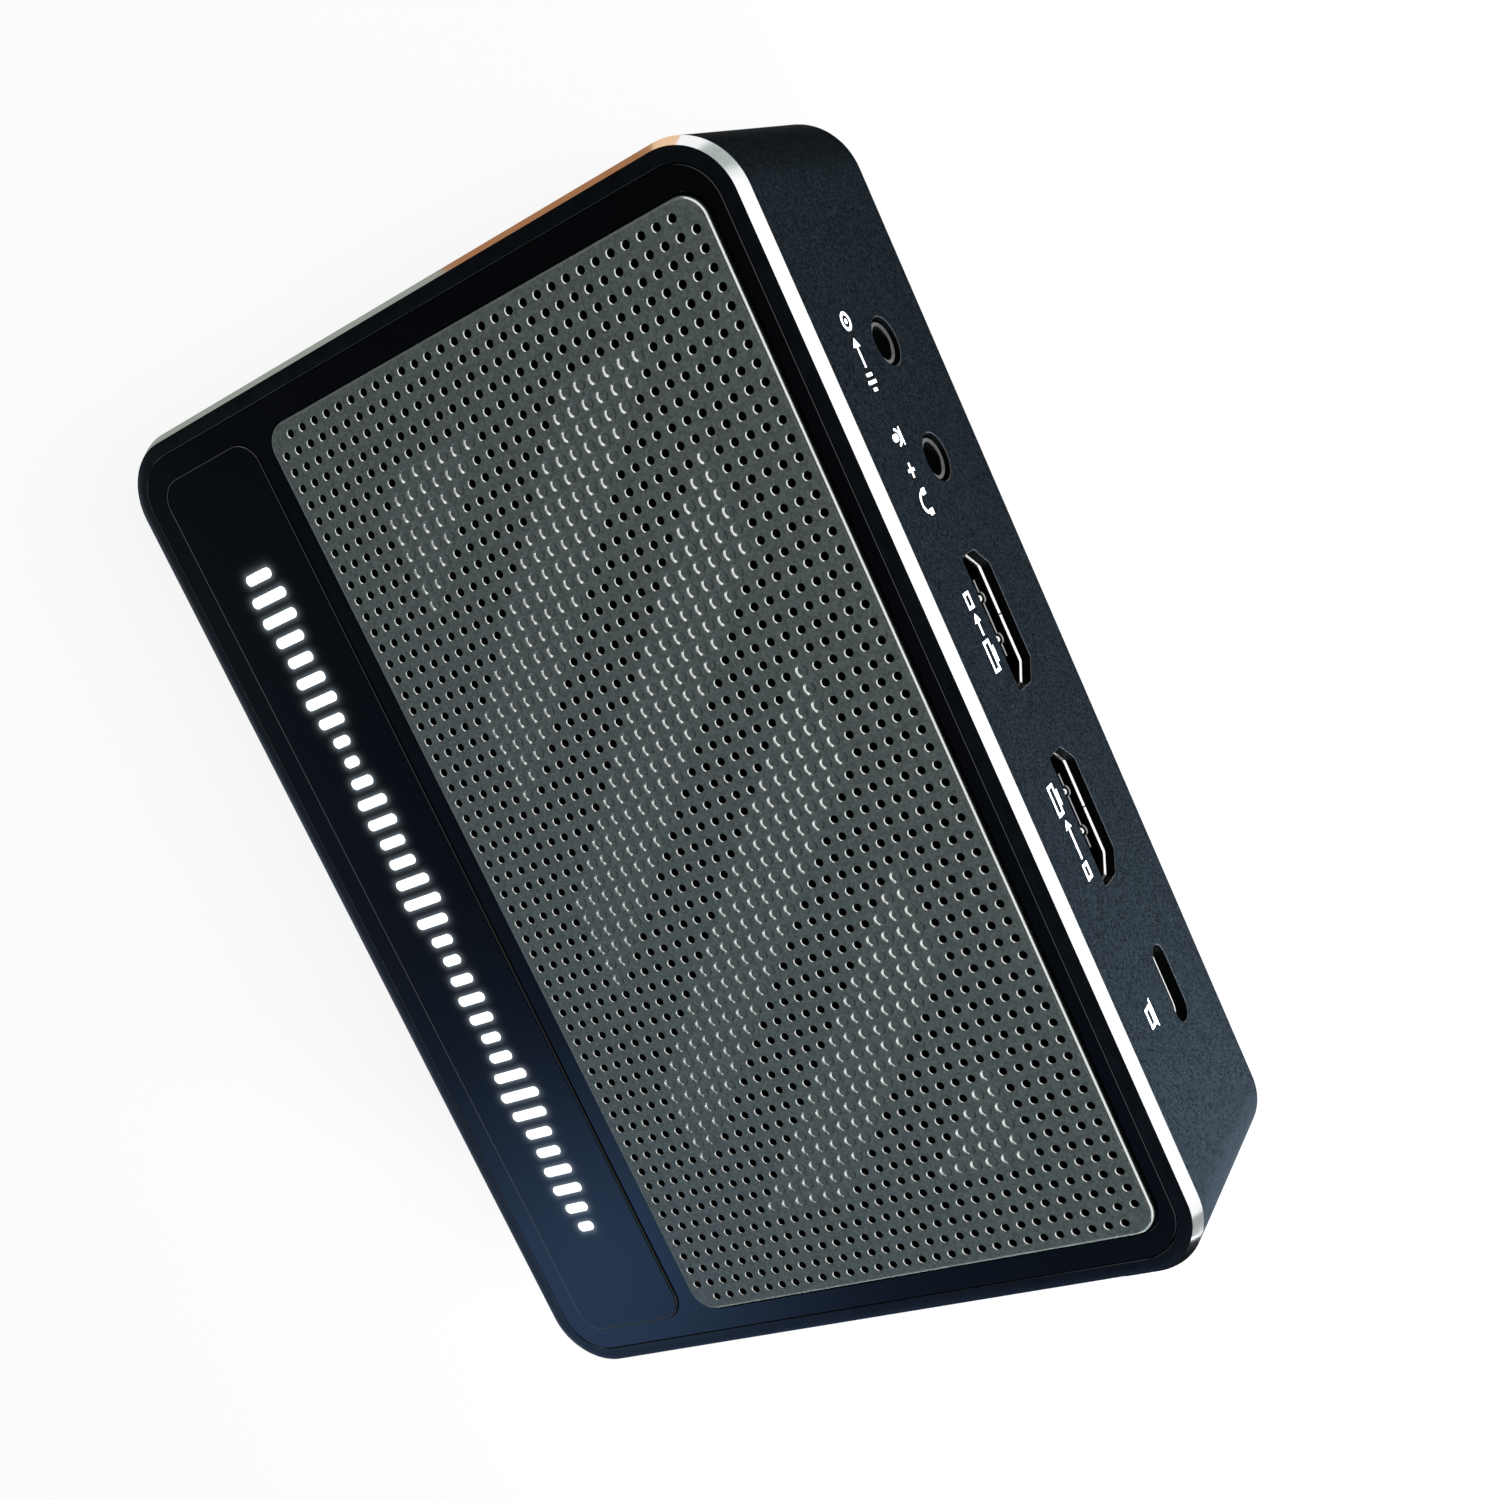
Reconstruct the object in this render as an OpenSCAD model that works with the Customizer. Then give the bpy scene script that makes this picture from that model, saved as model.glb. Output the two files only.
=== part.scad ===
// Video capture box: an aluminium side frame closed by a gloss top cover with a vent grille and a
// lit strip, and by a bottom cover on four feet. X runs along the long side, +Y points out of the
// ports, Z = 0 is the plane that the feet stand on. Sizes are in millimetres.

/* [Case frame] */
// Length of the case along X
case_l = 129; // [124:0.5:140]
// Depth of the case along Y
case_w = 92.2; // [90:0.2:100]
// Height of the side frame
frame_h = 28; // [27:0.5:32]
// Radius of the upright corners
corner_r = 8; // [7:0.5:9]
// Thickness of the side walls
wall = 2; // [1.6:0.1:2.4]
// Width of the flat top rim, with the chamfer
rim_w = 2.5; // [2.2:0.1:2.8]
// Width of the bright chamfer round the top
chamfer_w = 0.85; // [0.5:0.05:1.2]
// Height of the bright chamfer
chamfer_h = 1.5; // [0.8:0.1:1.7]
// Width of the ledge that carries the top cover
ledge_w = 2.5; // [1.5:0.1:2.8]
// Thickness of that ledge
ledge_t = 1.6; // [1.2:0.1:2.4]
// Distance of the corner posts from the outer faces
post_in = 9; // [8.8:0.1:10]
// Radius of the corner posts
post_r = 3.2; // [2.8:0.1:3.4]

/* [Top cover] */
// Thickness of the top cover
cover_t = 2; // [1.8:0.1:2.6]
// Gap between the cover and the rim
cover_gap = 0.1; // [0.05:0.05:0.3]
// Radius of the screw bosses under the cover
boss_r = 3; // [2.6:0.1:3.2]
// Length of the screw bosses under the cover
boss_h = 6; // [5:0.5:8]
// Length of one vent slot under the grille
vent_l = 12; // [8:0.5:12.5]
// Width of one vent slot
vent_w = 3; // [2:0.5:4]

/* [Grille] */
// Pitch of the grille's holes
hole_pitch = 2; // [1.8:0.02:2.4]
// Diameter of a hole
hole_d = 1; // [0.8:0.1:1.2]
// Plate left outside the outer holes
grille_margin = 1.7; // [1.2:0.1:2]
// Thickness of the grille plate
grille_t = 1.5; // [1.2:0.1:2]
// Depth of the recess that it lies in
grille_seat = 0.8; // [0.5:0.1:1]
// Radius of the grille's corners
grille_r = 3; // [2:0.5:4]
// Gap round the grille
grille_gap = 0.35; // [0.2:0.05:0.5]
// Distance from the rear face to the grille
grille_back = 4.5; // [4.2:0.1:5]
// Least distance from the end faces to the grille
grille_ends = 5.8; // [5:0.1:8]

/* [Indicator strip] */
// Distance from the end faces to the window
window_ends = 5.5; // [5:0.1:8]
// Width of the window
window_w = 16.1; // [14:0.1:18]
// Thickness of the window
window_t = 1.2; // [1:0.1:1.6]
// Depth of the recess that it lies in
window_seat = 0.9; // [0.6:0.1:1]
// Radius of the window's corners
window_r = 3; // [2:0.5:4]
// Gap round the window
window_gap = 0.1; // [0.05:0.05:0.2]
// Distance from the front face to the window
strip_front = 5.4; // [4.8:0.1:8]
// Least land between the grille and the window
strip_land = 2.8; // [2:0.1:4]
// Width of the light guide
guide_w = 8; // [6:0.5:10]
// Length of the light guide below the cover
guide_drop = 3; // [2:0.5:4]
// Gap round the light guide
guide_gap = 0.15; // [0.1:0.05:0.3]
// Thickness of the strip's circuit board
led_board_t = 1; // [0.8:0.1:1.6]
// Width of the strip's circuit board
led_board_w = 8; // [7:0.5:10]
// Height of one light
led_h = 0.8; // [0.6:0.1:1.2]
// Number of lights
led_count = 6; // [4:1:8]
// Diameter of the small screws that hold the strip's board
led_screw_d = 1.6; // [1.4:0.1:2]

/* [Base] */
// Thickness of the bottom cover
base_t = 2; // [1.8:0.1:3]
// Gap round the bottom cover
base_gap = 0.1; // [0.05:0.05:0.3]
// Diameter of a foot
foot_d = 10; // [8:0.5:12]
// Height that a foot stands below the case
foot_drop = 1.2; // [0.8:0.1:2]
// Depth of a foot's recess
foot_seat = 0.8; // [0.5:0.1:1]
// Distance of the feet from the ends
foot_in_x = 20; // [18:0.5:26]
// Distance of the feet from the front and rear
foot_in_y = 11; // [9:0.5:14]

/* [Main board] */
// Thickness of the main board
board_t = 1.6; // [1.2:0.1:2]
// Height of the standoffs under the board
standoff_h = 5.7; // [5.2:0.1:6.2]
// Radius of the standoffs
standoff_r = 2.8; // [2.4:0.1:3.2]
// Gap between the board and the walls
board_gap = 0.8; // [0.5:0.1:1.2]
// Half the distance between the standoffs along X
standoff_x = 52; // [46:0.5:54]
// Distance of the rear standoffs from the middle
standoff_rear = 26; // [24:0.5:27]
// Distance of the front standoffs from the middle
standoff_front = 22; // [18:0.5:24]

/* [Ports] */
// Place of the line input along X
line_in_x = -38.2; // [-40:0.1:-36]
// Place of the headset jack along X
headset_x = -25.1; // [-27:0.1:-23]
// Place of the video input along X
video_in_x = -6.9; // [-8:0.1:-5]
// Place of the video output along X
video_out_x = 16.4; // [14:0.1:18]
// Place of the data port along X
usb_x = 38.6; // [36:0.1:40]
// Height of a jack's axis above the board
jack_rise = 2.7; // [2.5:0.1:3.2]
// Diameter of a jack's bore
jack_bore = 3.6; // [3.5:0.05:3.8]
// Depth of a jack's bore
jack_depth = 14; // [12:0.5:15]
// Diameter of a jack's nose
jack_nose = 5; // [4.8:0.1:5]
// Depth of a jack's body
jack_body_l = 13; // [12.5:0.5:15]
// Width of a jack's body
jack_body_w = 7; // [6.8:0.1:8]
// Height of a video port's middle above the board
video_rise = 4.2; // [3.4:0.05:4.6]
// Width of a video shell
video_w = 15; // [14.6:0.1:15.4]
// Height of a video shell
video_h = 5.6; // [5.4:0.1:5.8]
// Depth of a video shell
video_l = 11; // [10:0.5:12]
// Height of the data port's middle above the board
usb_rise = 1.8; // [1.7:0.05:2.2]
// Width of the data port's shell
usb_w = 8.94; // [8.8:0.02:9.2]
// Height of the data port's shell
usb_h = 3.2; // [3.1:0.05:3.4]
// Depth of the data port's shell
usb_l = 8; // [7:0.5:9]
// Sheet thickness of the port shells
shell_t = 0.3; // [0.2:0.05:0.4]
// Gap between a port and its opening in the frame
port_gap = 0.4; // [0.2:0.05:0.6]
// Gap between a jack's nose and its hole in the frame
jack_gap = 0.36; // [0.2:0.02:0.5]
// Distance of the video shells behind the rear face
video_recess = 1.1; // [0.2:0.1:1.6]
// Distance of the data port's shell behind the rear face
usb_recess = 1.3; // [0.2:0.1:1.6]
// Distance of the jack noses behind the rear face
jack_recess = 0.4; // [0.2:0.1:1]

/* [Electronics] */
// Side of the capture chip
chip_side = 17; // [14:0.5:20]
// Height of the capture chip
chip_h = 1.4; // [1:0.1:2]
// Thickness of the thermal pad
pad_t = 0.5; // [0.3:0.1:1]
// Side of the heat sink
sink_side = 26; // [22:1:30]
// Height of the heat sink
sink_h = 7; // [5:0.5:8]
// Number of fins on the heat sink
sink_fins = 9; // [6:1:11]

/* [Fasteners] */
// Diameter of the case and board screws
screw_d = 2.5; // [2:0.1:2.6]
// Diameter of the case screws' heads
screw_head_d = 4.7; // [4.2:0.1:5]
// Height of the screws' heads
screw_head_h = 1.3; // [1:0.1:1.5]
// Radial room round a screw in its own hole
screw_gap = 0.05; // [0.03:0.01:0.1]
// Radial room round a screw that passes through
pass_gap = 0.2; // [0.1:0.05:0.3]

/* [Hidden] */
round_fn = 64;
small_fn = 32;
over = 1;
least_r = 0.5;

// Levels, from the feet up
frame_z = foot_drop;
base_top = frame_z + base_t;
board_z = base_top + standoff_h;
board_top = board_z + board_t;
rim_z = frame_z + frame_h;
ledge_top = rim_z - cover_t;
ledge_z = ledge_top - ledge_t;
post_top = ledge_top - boss_h;
grille_z = rim_z - grille_seat;
window_z = rim_z - window_seat;
guide_z = ledge_top - guide_drop;
led_board_top = guide_z - led_h;
led_board_z = led_board_top - led_board_t;

// Plan sizes
rear_y = case_w / 2;
wall_y = rear_y - wall;
inner_l = case_l - 2 * wall;
inner_w = case_w - 2 * wall;
cover_in = rim_w + cover_gap;
post_x = case_l / 2 - post_in;
post_y = case_w / 2 - post_in;
web_t = 2;
board_l = inner_l - 2 * board_gap;
board_w = inner_w - 2 * board_gap;
post_room = 0.6;
notch = post_in + post_r + post_room - wall - board_gap;

// Grille and strip
window_l = case_l - 2 * window_ends;
window_y = strip_front + window_w / 2 - case_w / 2;
grid_room_x = case_l - 2 * (grille_ends + grille_margin);
grid_room_y = case_w - grille_back - strip_land - window_w - strip_front - 2 * grille_margin;
count_slack = 0.01;
hole_cols = floor(grid_room_x / hole_pitch + count_slack) + 1;
hole_rows = floor(grid_room_y / hole_pitch + count_slack) + 1;
grille_l = (hole_cols - 1) * hole_pitch + 2 * grille_margin;
grille_w = (hole_rows - 1) * hole_pitch + 2 * grille_margin;
grille_y = rear_y - grille_back - grille_w / 2;
drill_step = 2;
band_edge = 5;
band_pitch = 12;
band_w = 6;
vent_rib = 3;
vent_pitch_x = vent_l + vent_rib;
vent_pitch_y = vent_w + vent_rib;
vent_cols = floor((grille_l - vent_l) / vent_pitch_x);
vent_rows = floor((grille_w - vent_w) / vent_pitch_y);

// Lit strip under the window
led_clear = 0.6;
led_board_l = case_l - 2 * (post_in + boss_r + led_clear);
led_boss_wall = 1.4;
led_boss_r = led_screw_d / 2 + led_boss_wall;
led_boss_x = led_board_l / 2 - led_boss_r;
guide_l = 2 * (led_boss_x - led_boss_r - led_clear);
led_l = 3;
led_w = 1.6;
led_pitch = guide_l / led_count;
led_screw_bite = 2.6;
led_screw_l = led_board_t + led_screw_bite;
header_in = 8;
header_x = guide_l / 2 - header_in;
pin_spacing = 2.54;
header_pins = 4;
header_w = 2.5;
pin_side = 0.64;
pin_gap = 0.03;

// Board fixing points
standoffs = [
  [-standoff_x, standoff_rear], [standoff_x, standoff_rear],
  [-standoff_x, -standoff_front], [standoff_x, -standoff_front]
];
board_screw_l = 4.5;
boss_skin = 0.5;
screw_end_room = 1;

// Ports
jack_z = board_top + jack_rise;
jack_front = rear_y - jack_recess;
jack_seat_gap = 0.2;
jack_face = wall_y - jack_seat_gap;
jack_body_h = 2 * jack_rise;
jack_hole_d = jack_nose + 2 * jack_gap;
contact_t = 0.25;
contact_w = 1;
contact_l = 6;
contact_room = 0.05;
contact_wall = 0.6;
contact_x = jack_bore / 2 + contact_wall;
video_y = rear_y - video_recess;
video_z = board_top + video_rise;
video_slant_w = 1.9;
video_slant_h = 2.1;
video_leg = 2;
tongue_room = 0.1;
video_block_l = 3;
video_tongue_w = 11.6;
video_tongue_t = 1.6;
video_tongue_in = 1.4;
video_pin_w = 0.35;
video_pin_pitch = 1;
video_pin_t = 0.15;
video_pin_in = 0.6;
video_pins_upper = 10;
video_pins_lower = 9;
usb_y = rear_y - usb_recess;
usb_z = board_top + usb_rise;
usb_block_l = 2;
usb_tongue_w = 6.7;
usb_tongue_t = 0.7;
usb_tongue_in = 1.2;
usb_pin_w = 0.25;
usb_pin_pitch = 0.5;
usb_pin_t = 0.08;
usb_pin_in = 0.5;
usb_pins = 12;

// Places of the parts on the board: [x, y] of the middle of each
chip_at = [4, 4];
memory_at = [[-17, 10], [-17, -6]];
memory_size = [9, 13, 1];
receiver_at = [video_in_x, 24];
receiver_size = [9, 9, 0.9];
driver_at = [video_out_x, 24];
driver_size = [7, 7, 0.9];
bridge_at = [36, 24];
bridge_size = [10, 10, 1];
codec_at = [-33, 22];
codec_size = [5, 5, 0.9];
flash_at = [27, -16];
flash_size = [5.2, 8, 1.8];
crystal_at = [[-4, -18], [28, 12]];
crystal_size = [3.2, 2.5, 0.8];
coil_in = 20;
coil_y = 2;
coil_step = [8, 10];
coil_at = [for (i = [0, 1], j = [0, 1])
  [board_l / 2 - coil_in - i * coil_step[0], coil_y - j * coil_step[1]]];
coil_size = [6, 6, 3];
can_in = 18;
can_y = 8;
can_step = [8, 10];
can_at = [for (i = [0, 1], j = [0, 1])
  [can_in - board_l / 2 + i * can_step[0], can_y - j * can_step[1]]];
can_d = 6.3;
can_h = 5.8;
can_base = [6.6, 6.6, 1];
cap_size = [1.6, 0.8, 0.8];
cap_pitch = 3;
cap_cols = 12;
cap_rows = 2;
cap_at = [-12, -27];

// Shared shapes
module rounded_rect(l, w, r) {
  square([l - 2 * r, w], center = true);
  square([l, w - 2 * r], center = true);
  for (x = [-1, 1], y = [-1, 1])
    translate([x * (l / 2 - r), y * (w / 2 - r)]) circle(r = r, $fn = round_fn);
}

module slab(l, w, r, low, high) {
  translate([0, 0, low]) linear_extrude(high - low) rounded_rect(l, w, r);
}

// A plan of the case drawn in from its outer faces by a distance
module case_slab(inset, low, high) {
  slab(case_l - 2 * inset, case_w - 2 * inset, max(corner_r - inset, least_r), low, high);
}

// Draws a front view outline and runs it along Y
module along_y(from, to) {
  translate([0, to, 0]) rotate([90, 0, 0]) linear_extrude(to - from) children();
}

module rod(x, y, low, high, d) {
  translate([x, y, low]) cylinder(d = d, h = high - low, $fn = small_fn);
}

module block(at, size, low) {
  translate([at[0] - size[0] / 2, at[1] - size[1] / 2, low]) cube(size);
}

module at_posts() {
  for (x = [-1, 1], y = [-1, 1]) translate([x * post_x, y * post_y, 0]) children();
}

module at_feet() {
  for (x = [-1, 1], y = [-1, 1])
    translate([x * (case_l / 2 - foot_in_x), y * (case_w / 2 - foot_in_y), 0]) children();
}

module at_standoffs() {
  for (p = standoffs) translate([p[0], p[1], 0]) children();
}

// Port outlines, seen from the rear with Z up; grow makes them larger all round
module video_outline(grow) {
  half_w = video_w / 2 + grow;
  half_h = video_h / 2 + grow;
  polygon([
    [-half_w, half_h], [half_w, half_h], [half_w, -half_h + video_slant_h],
    [half_w - video_slant_w, -half_h], [-half_w + video_slant_w, -half_h],
    [-half_w, -half_h + video_slant_h]
  ]);
}

module usb_outline(grow) {
  h = usb_h + 2 * grow;
  run = usb_w - usb_h;
  square([run, h], center = true);
  for (s = [-1, 1]) translate([s * run / 2, 0]) circle(d = h, $fn = round_fn);
}

// Case

module frame_outside() {
  low_h = frame_h - chamfer_h;
  flat_l = case_l - 2 * corner_r;
  flat_w = case_w - 2 * corner_r;
  case_slab(0, frame_z, frame_z + low_h);
  translate([0, 0, frame_z + low_h]) {
    rotate([90, 0, 90]) translate([0, 0, -flat_l / 2]) linear_extrude(flat_l) chamfer_section(case_w);
    rotate([90, 0, 0]) translate([0, 0, -flat_w / 2]) linear_extrude(flat_w) chamfer_section(case_l);
    for (x = [-1, 1], y = [-1, 1])
      translate([x * flat_l / 2, y * flat_w / 2, 0])
        cylinder(r1 = corner_r, r2 = corner_r - chamfer_w, h = chamfer_h, $fn = round_fn);
  }
}

module chamfer_section(width) {
  half = width / 2;
  polygon([[-half, 0], [half, 0], [half - chamfer_w, chamfer_h], [chamfer_w - half, chamfer_h]]);
}

module corner_posts() {
  at_posts() rod(0, 0, base_top, post_top, 2 * post_r);
  reach = post_in - wall / 2;
  for (x = [-1, 1], y = [-1, 1]) {
    translate([x * (post_x + reach / 2), y * post_y, (base_top + post_top) / 2])
      cube([reach, web_t, post_top - base_top], center = true);
    translate([x * post_x, y * (post_y + reach / 2), (base_top + post_top) / 2])
      cube([web_t, reach, post_top - base_top], center = true);
  }
}

module port_openings() {
  low = wall_y - over;
  high = rear_y + over;
  for (x = [line_in_x, headset_x])
    translate([x, high, jack_z]) rotate([90, 0, 0])
      cylinder(d = jack_hole_d, h = high - low, $fn = round_fn);
  for (x = [video_in_x, video_out_x])
    translate([x, 0, video_z]) along_y(low, high) video_outline(port_gap);
  translate([usb_x, 0, usb_z]) along_y(low, high) usb_outline(port_gap);
}

module side_frame() {
  color([0.13, 0.14, 0.16]) difference() {
    union() {
      difference() {
        frame_outside();
        case_slab(rim_w, ledge_top, rim_z + over);
        case_slab(rim_w + ledge_w, ledge_z - over, ledge_top + over);
        case_slab(wall, frame_z - over, ledge_z);
      }
      corner_posts();
    }
    at_posts() rod(0, 0, base_top - over, post_top + over, screw_d + 2 * pass_gap);
    port_openings();
  }
}

module top_cover() {
  color([0.03, 0.03, 0.04]) difference() {
    union() {
      case_slab(cover_in, ledge_top, rim_z);
      at_posts() rod(0, 0, post_top, ledge_top + over / 2, 2 * boss_r);
      for (s = [-1, 1])
        rod(s * led_boss_x, window_y, led_board_top, ledge_top + over / 2, 2 * led_boss_r);
    }
    translate([0, grille_y, 0])
      slab(grille_l + 2 * grille_gap, grille_w + 2 * grille_gap, grille_r + grille_gap, grille_z,
        rim_z + over);
    translate([0, window_y, 0])
      slab(window_l + 2 * window_gap, window_w + 2 * window_gap, window_r + window_gap, window_z,
        rim_z + over);
    block([0, window_y], [guide_l + 2 * guide_gap, guide_w + 2 * guide_gap, cover_t + over],
      ledge_top - over / 2);
    for (i = [0 : vent_cols - 1], j = [0 : vent_rows - 1])
      block([(i - (vent_cols - 1) / 2) * vent_pitch_x,
          grille_y + (j - (vent_rows - 1) / 2) * vent_pitch_y],
        [vent_l, vent_w, cover_t + over], ledge_top - over / 2);
    at_posts() rod(0, 0, post_top - over, ledge_top - boss_skin, screw_d + 2 * screw_gap);
    for (s = [-1, 1])
      rod(s * led_boss_x, window_y, led_board_top - over, ledge_top - boss_skin,
        led_screw_d + 2 * screw_gap);
  }
}

// True where the plate is left whole: slanted bands of closed positions across the middle
function closed(i, j) =
  i >= band_edge && i < hole_rows - band_edge && j >= band_edge && j < hole_cols - band_edge
  && (i + j) % band_pitch < band_w;

// True at the four corners of the grid, which have no hole
function corner(i, j) = (i == 0 || i == hole_rows - 1) && (j == 0 || j == hole_cols - 1);

// The solid has every second hole of the fine grid, at its true size and place
module grille() {
  color([0.36, 0.38, 0.39]) translate([0, grille_y, grille_z]) linear_extrude(grille_t)
    difference() {
      rounded_rect(grille_l, grille_w, grille_r);
      for (i = [0 : drill_step : hole_rows - 1], j = [0 : drill_step : hole_cols - 1])
        if (!closed(i, j) && !corner(i, j))
          translate([(j - (hole_cols - 1) / 2) * hole_pitch, (i - (hole_rows - 1) / 2) * hole_pitch])
            circle(d = hole_d, $fn = 16);
    }
}

module indicator_window() {
  color([0.04, 0.05, 0.08]) translate([0, window_y, 0])
    slab(window_l, window_w, window_r, window_z, window_z + window_t);
}

module light_guide() {
  color([0.92, 0.94, 0.95]) block([0, window_y], [guide_l, guide_w, window_z - guide_z], guide_z);
}

module led_board() {
  color([0.05, 0.05, 0.05]) difference() {
    block([0, window_y], [led_board_l, led_board_w, led_board_t], led_board_z);
    for (s = [-1, 1])
      rod(s * led_boss_x, window_y, led_board_z - over, led_board_top + over,
        led_screw_d + 2 * pass_gap);
  }
}

module indicator_leds() {
  color([0.95, 0.93, 0.8]) for (i = [0 : led_count - 1])
    block([(i - (led_count - 1) / 2) * led_pitch, window_y], [led_l, led_w, led_h], led_board_top);
}

module led_screws() {
  color([0.6, 0.6, 0.62]) for (s = [-1, 1]) {
    rod(s * led_boss_x, window_y, led_board_z, led_board_z + led_screw_l, led_screw_d);
    rod(s * led_boss_x, window_y, led_board_z - led_screw_d / 2, led_board_z, 2 * led_screw_d);
  }
}

module at_header_pins() {
  for (i = [0 : header_pins - 1])
    translate([header_x + (i - (header_pins - 1) / 2) * pin_spacing, window_y, 0]) children();
}

module led_header() {
  color([0.08, 0.08, 0.08]) difference() {
    block([header_x, window_y], [header_pins * pin_spacing, header_w, led_board_z - board_top],
      board_top);
    at_header_pins() block([0, 0], [pin_side + 2 * pin_gap, pin_side + 2 * pin_gap,
        led_board_z - board_top + 2 * over], board_top - over);
  }
}

module led_header_pins() {
  color([0.85, 0.7, 0.35]) at_header_pins()
    block([0, 0], [pin_side, pin_side, led_board_z - board_top], board_top);
}

// Base

module bottom_cover() {
  color([0.06, 0.06, 0.07]) difference() {
    union() {
      case_slab(wall + base_gap, frame_z, base_top);
      at_standoffs() rod(0, 0, base_top - over / 2, board_z, 2 * standoff_r);
    }
    at_feet() rod(0, 0, frame_z - over, frame_z + foot_seat, foot_d + 2 * base_gap);
    at_posts() {
      rod(0, 0, frame_z - over, base_top + over, screw_d + 2 * pass_gap);
      translate([0, 0, frame_z]) cylinder(d1 = screw_head_d + 2 * pass_gap,
        d2 = screw_d + 2 * pass_gap, h = screw_head_h, $fn = small_fn);
    }
    at_standoffs() rod(0, 0, base_top, board_z + over, screw_d + 2 * screw_gap);
  }
}

module rubber_feet() {
  color([0.1, 0.1, 0.1]) at_feet() rod(0, 0, 0, frame_z + foot_seat, foot_d);
}

module case_screws() {
  color([0.2, 0.2, 0.21]) at_posts() {
    rod(0, 0, frame_z + screw_head_h, ledge_top - boss_skin - screw_end_room, screw_d);
    translate([0, 0, frame_z])
      cylinder(d1 = screw_head_d, d2 = screw_d, h = screw_head_h, $fn = small_fn);
  }
}

module main_board() {
  color([0.05, 0.22, 0.14]) difference() {
    block([0, 0], [board_l, board_w, board_t], board_z);
    for (x = [-1, 1], y = [-1, 1])
      block([x * board_l / 2, y * board_w / 2], [2 * notch, 2 * notch, board_t + 2 * over],
        board_z - over);
    at_standoffs() rod(0, 0, board_z - over, board_top + over, screw_d + 2 * pass_gap);
  }
}

module board_screws() {
  color([0.7, 0.7, 0.72]) at_standoffs() {
    rod(0, 0, board_top - board_screw_l, board_top, screw_d);
    rod(0, 0, board_top, board_top + screw_head_h, screw_head_d);
  }
}

// Jacks

module jack(x) {
  color([0.04, 0.04, 0.04]) translate([x, 0, 0]) difference() {
    union() {
      block([0, jack_face - jack_body_l / 2], [jack_body_w, jack_body_l, jack_body_h], board_top);
      translate([0, jack_front, jack_z]) rotate([90, 0, 0])
        cylinder(d = jack_nose, h = jack_front - jack_face + over, $fn = round_fn);
    }
    translate([0, jack_front + over, jack_z]) rotate([90, 0, 0])
      cylinder(d = jack_bore, h = jack_depth + over, $fn = round_fn);
    for (s = [-1, 1])
      block([s * (contact_x + contact_t / 2), jack_face - jack_body_l + contact_l / 2 - over / 2],
        [contact_t + 2 * contact_room, contact_l + over, contact_w + 2 * contact_room],
        jack_z - contact_w / 2 - contact_room);
  }
}

module jack_contacts(x) {
  tail_y = jack_face - jack_body_l - contact_w / 2;
  color([0.85, 0.75, 0.45]) translate([x, 0, 0]) for (s = [-1, 1]) {
    block([s * (contact_x + contact_t / 2), jack_face - jack_body_l + contact_l / 2 - contact_room -
        contact_w / 2], [contact_t, contact_l + contact_w, contact_w], jack_z - contact_w / 2);
    block([s * (contact_x + contact_t / 2), tail_y - contact_room], [contact_t, contact_w,
        jack_z - board_top], board_top);
  }
}

module line_in_jack() { jack(line_in_x); }
module line_in_contacts() { jack_contacts(line_in_x); }
module headset_jack() { jack(headset_x); }
module headset_contacts() { jack_contacts(headset_x); }

// Video ports

module video_shell(x) {
  leg_h = video_rise - video_h / 2;
  color([0.75, 0.75, 0.76]) translate([x, 0, 0]) {
    translate([0, 0, video_z]) along_y(video_y - video_l, video_y) difference() {
      video_outline(0);
      video_outline(-shell_t);
    }
    for (s = [-1, 1], y = [video_leg, video_l - video_block_l - video_leg])
      block([s * (video_w / 2 - video_slant_w - shell_t / 2), video_y - video_l + y],
        [shell_t, video_leg, leg_h + shell_t / 2], board_top);
  }
}

module video_insulator(x) {
  rear = video_y - video_l;
  color([0.05, 0.05, 0.05]) translate([x, 0, video_z]) {
    along_y(rear, rear + video_block_l) video_outline(-shell_t - tongue_room);
    along_y(rear + video_block_l - over / 2, video_y - video_tongue_in)
      square([video_tongue_w, video_tongue_t], center = true);
  }
}

module video_contacts(x) {
  from = video_y - video_l + video_block_l;
  to = video_y - video_tongue_in - video_pin_in;
  color([0.85, 0.7, 0.35]) translate([x, 0, video_z]) for (s = [-1, 1]) {
    count = s > 0 ? video_pins_upper : video_pins_lower;
    for (i = [0 : count - 1])
      translate([(i - (count - 1) / 2) * video_pin_pitch, 0, 0]) along_y(from, to)
        translate([0, s * (video_tongue_t + video_pin_t) / 2])
          square([video_pin_w, video_pin_t], center = true);
  }
}

module video_in_shell() { video_shell(video_in_x); }
module video_in_insulator() { video_insulator(video_in_x); }
module video_in_contacts() { video_contacts(video_in_x); }
module video_out_shell() { video_shell(video_out_x); }
module video_out_insulator() { video_insulator(video_out_x); }
module video_out_contacts() { video_contacts(video_out_x); }

// Data port

module usb_shell() {
  leg_h = usb_rise - usb_h / 2;
  color([0.75, 0.75, 0.76]) translate([usb_x, 0, 0]) {
    translate([0, 0, usb_z]) along_y(usb_y - usb_l, usb_y) difference() {
      usb_outline(0);
      usb_outline(-shell_t);
    }
    for (s = [-1, 1])
      block([s * (usb_w - usb_h) / 2, usb_y - usb_l + video_leg], [shell_t, video_leg,
          leg_h + shell_t / 2], board_top);
  }
}

module usb_insulator() {
  rear = usb_y - usb_l;
  color([0.05, 0.05, 0.05]) translate([usb_x, 0, usb_z]) {
    along_y(rear, rear + usb_block_l) usb_outline(-shell_t - tongue_room);
    along_y(rear + usb_block_l - over / 2, usb_y - usb_tongue_in)
      square([usb_tongue_w, usb_tongue_t], center = true);
  }
}

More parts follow.
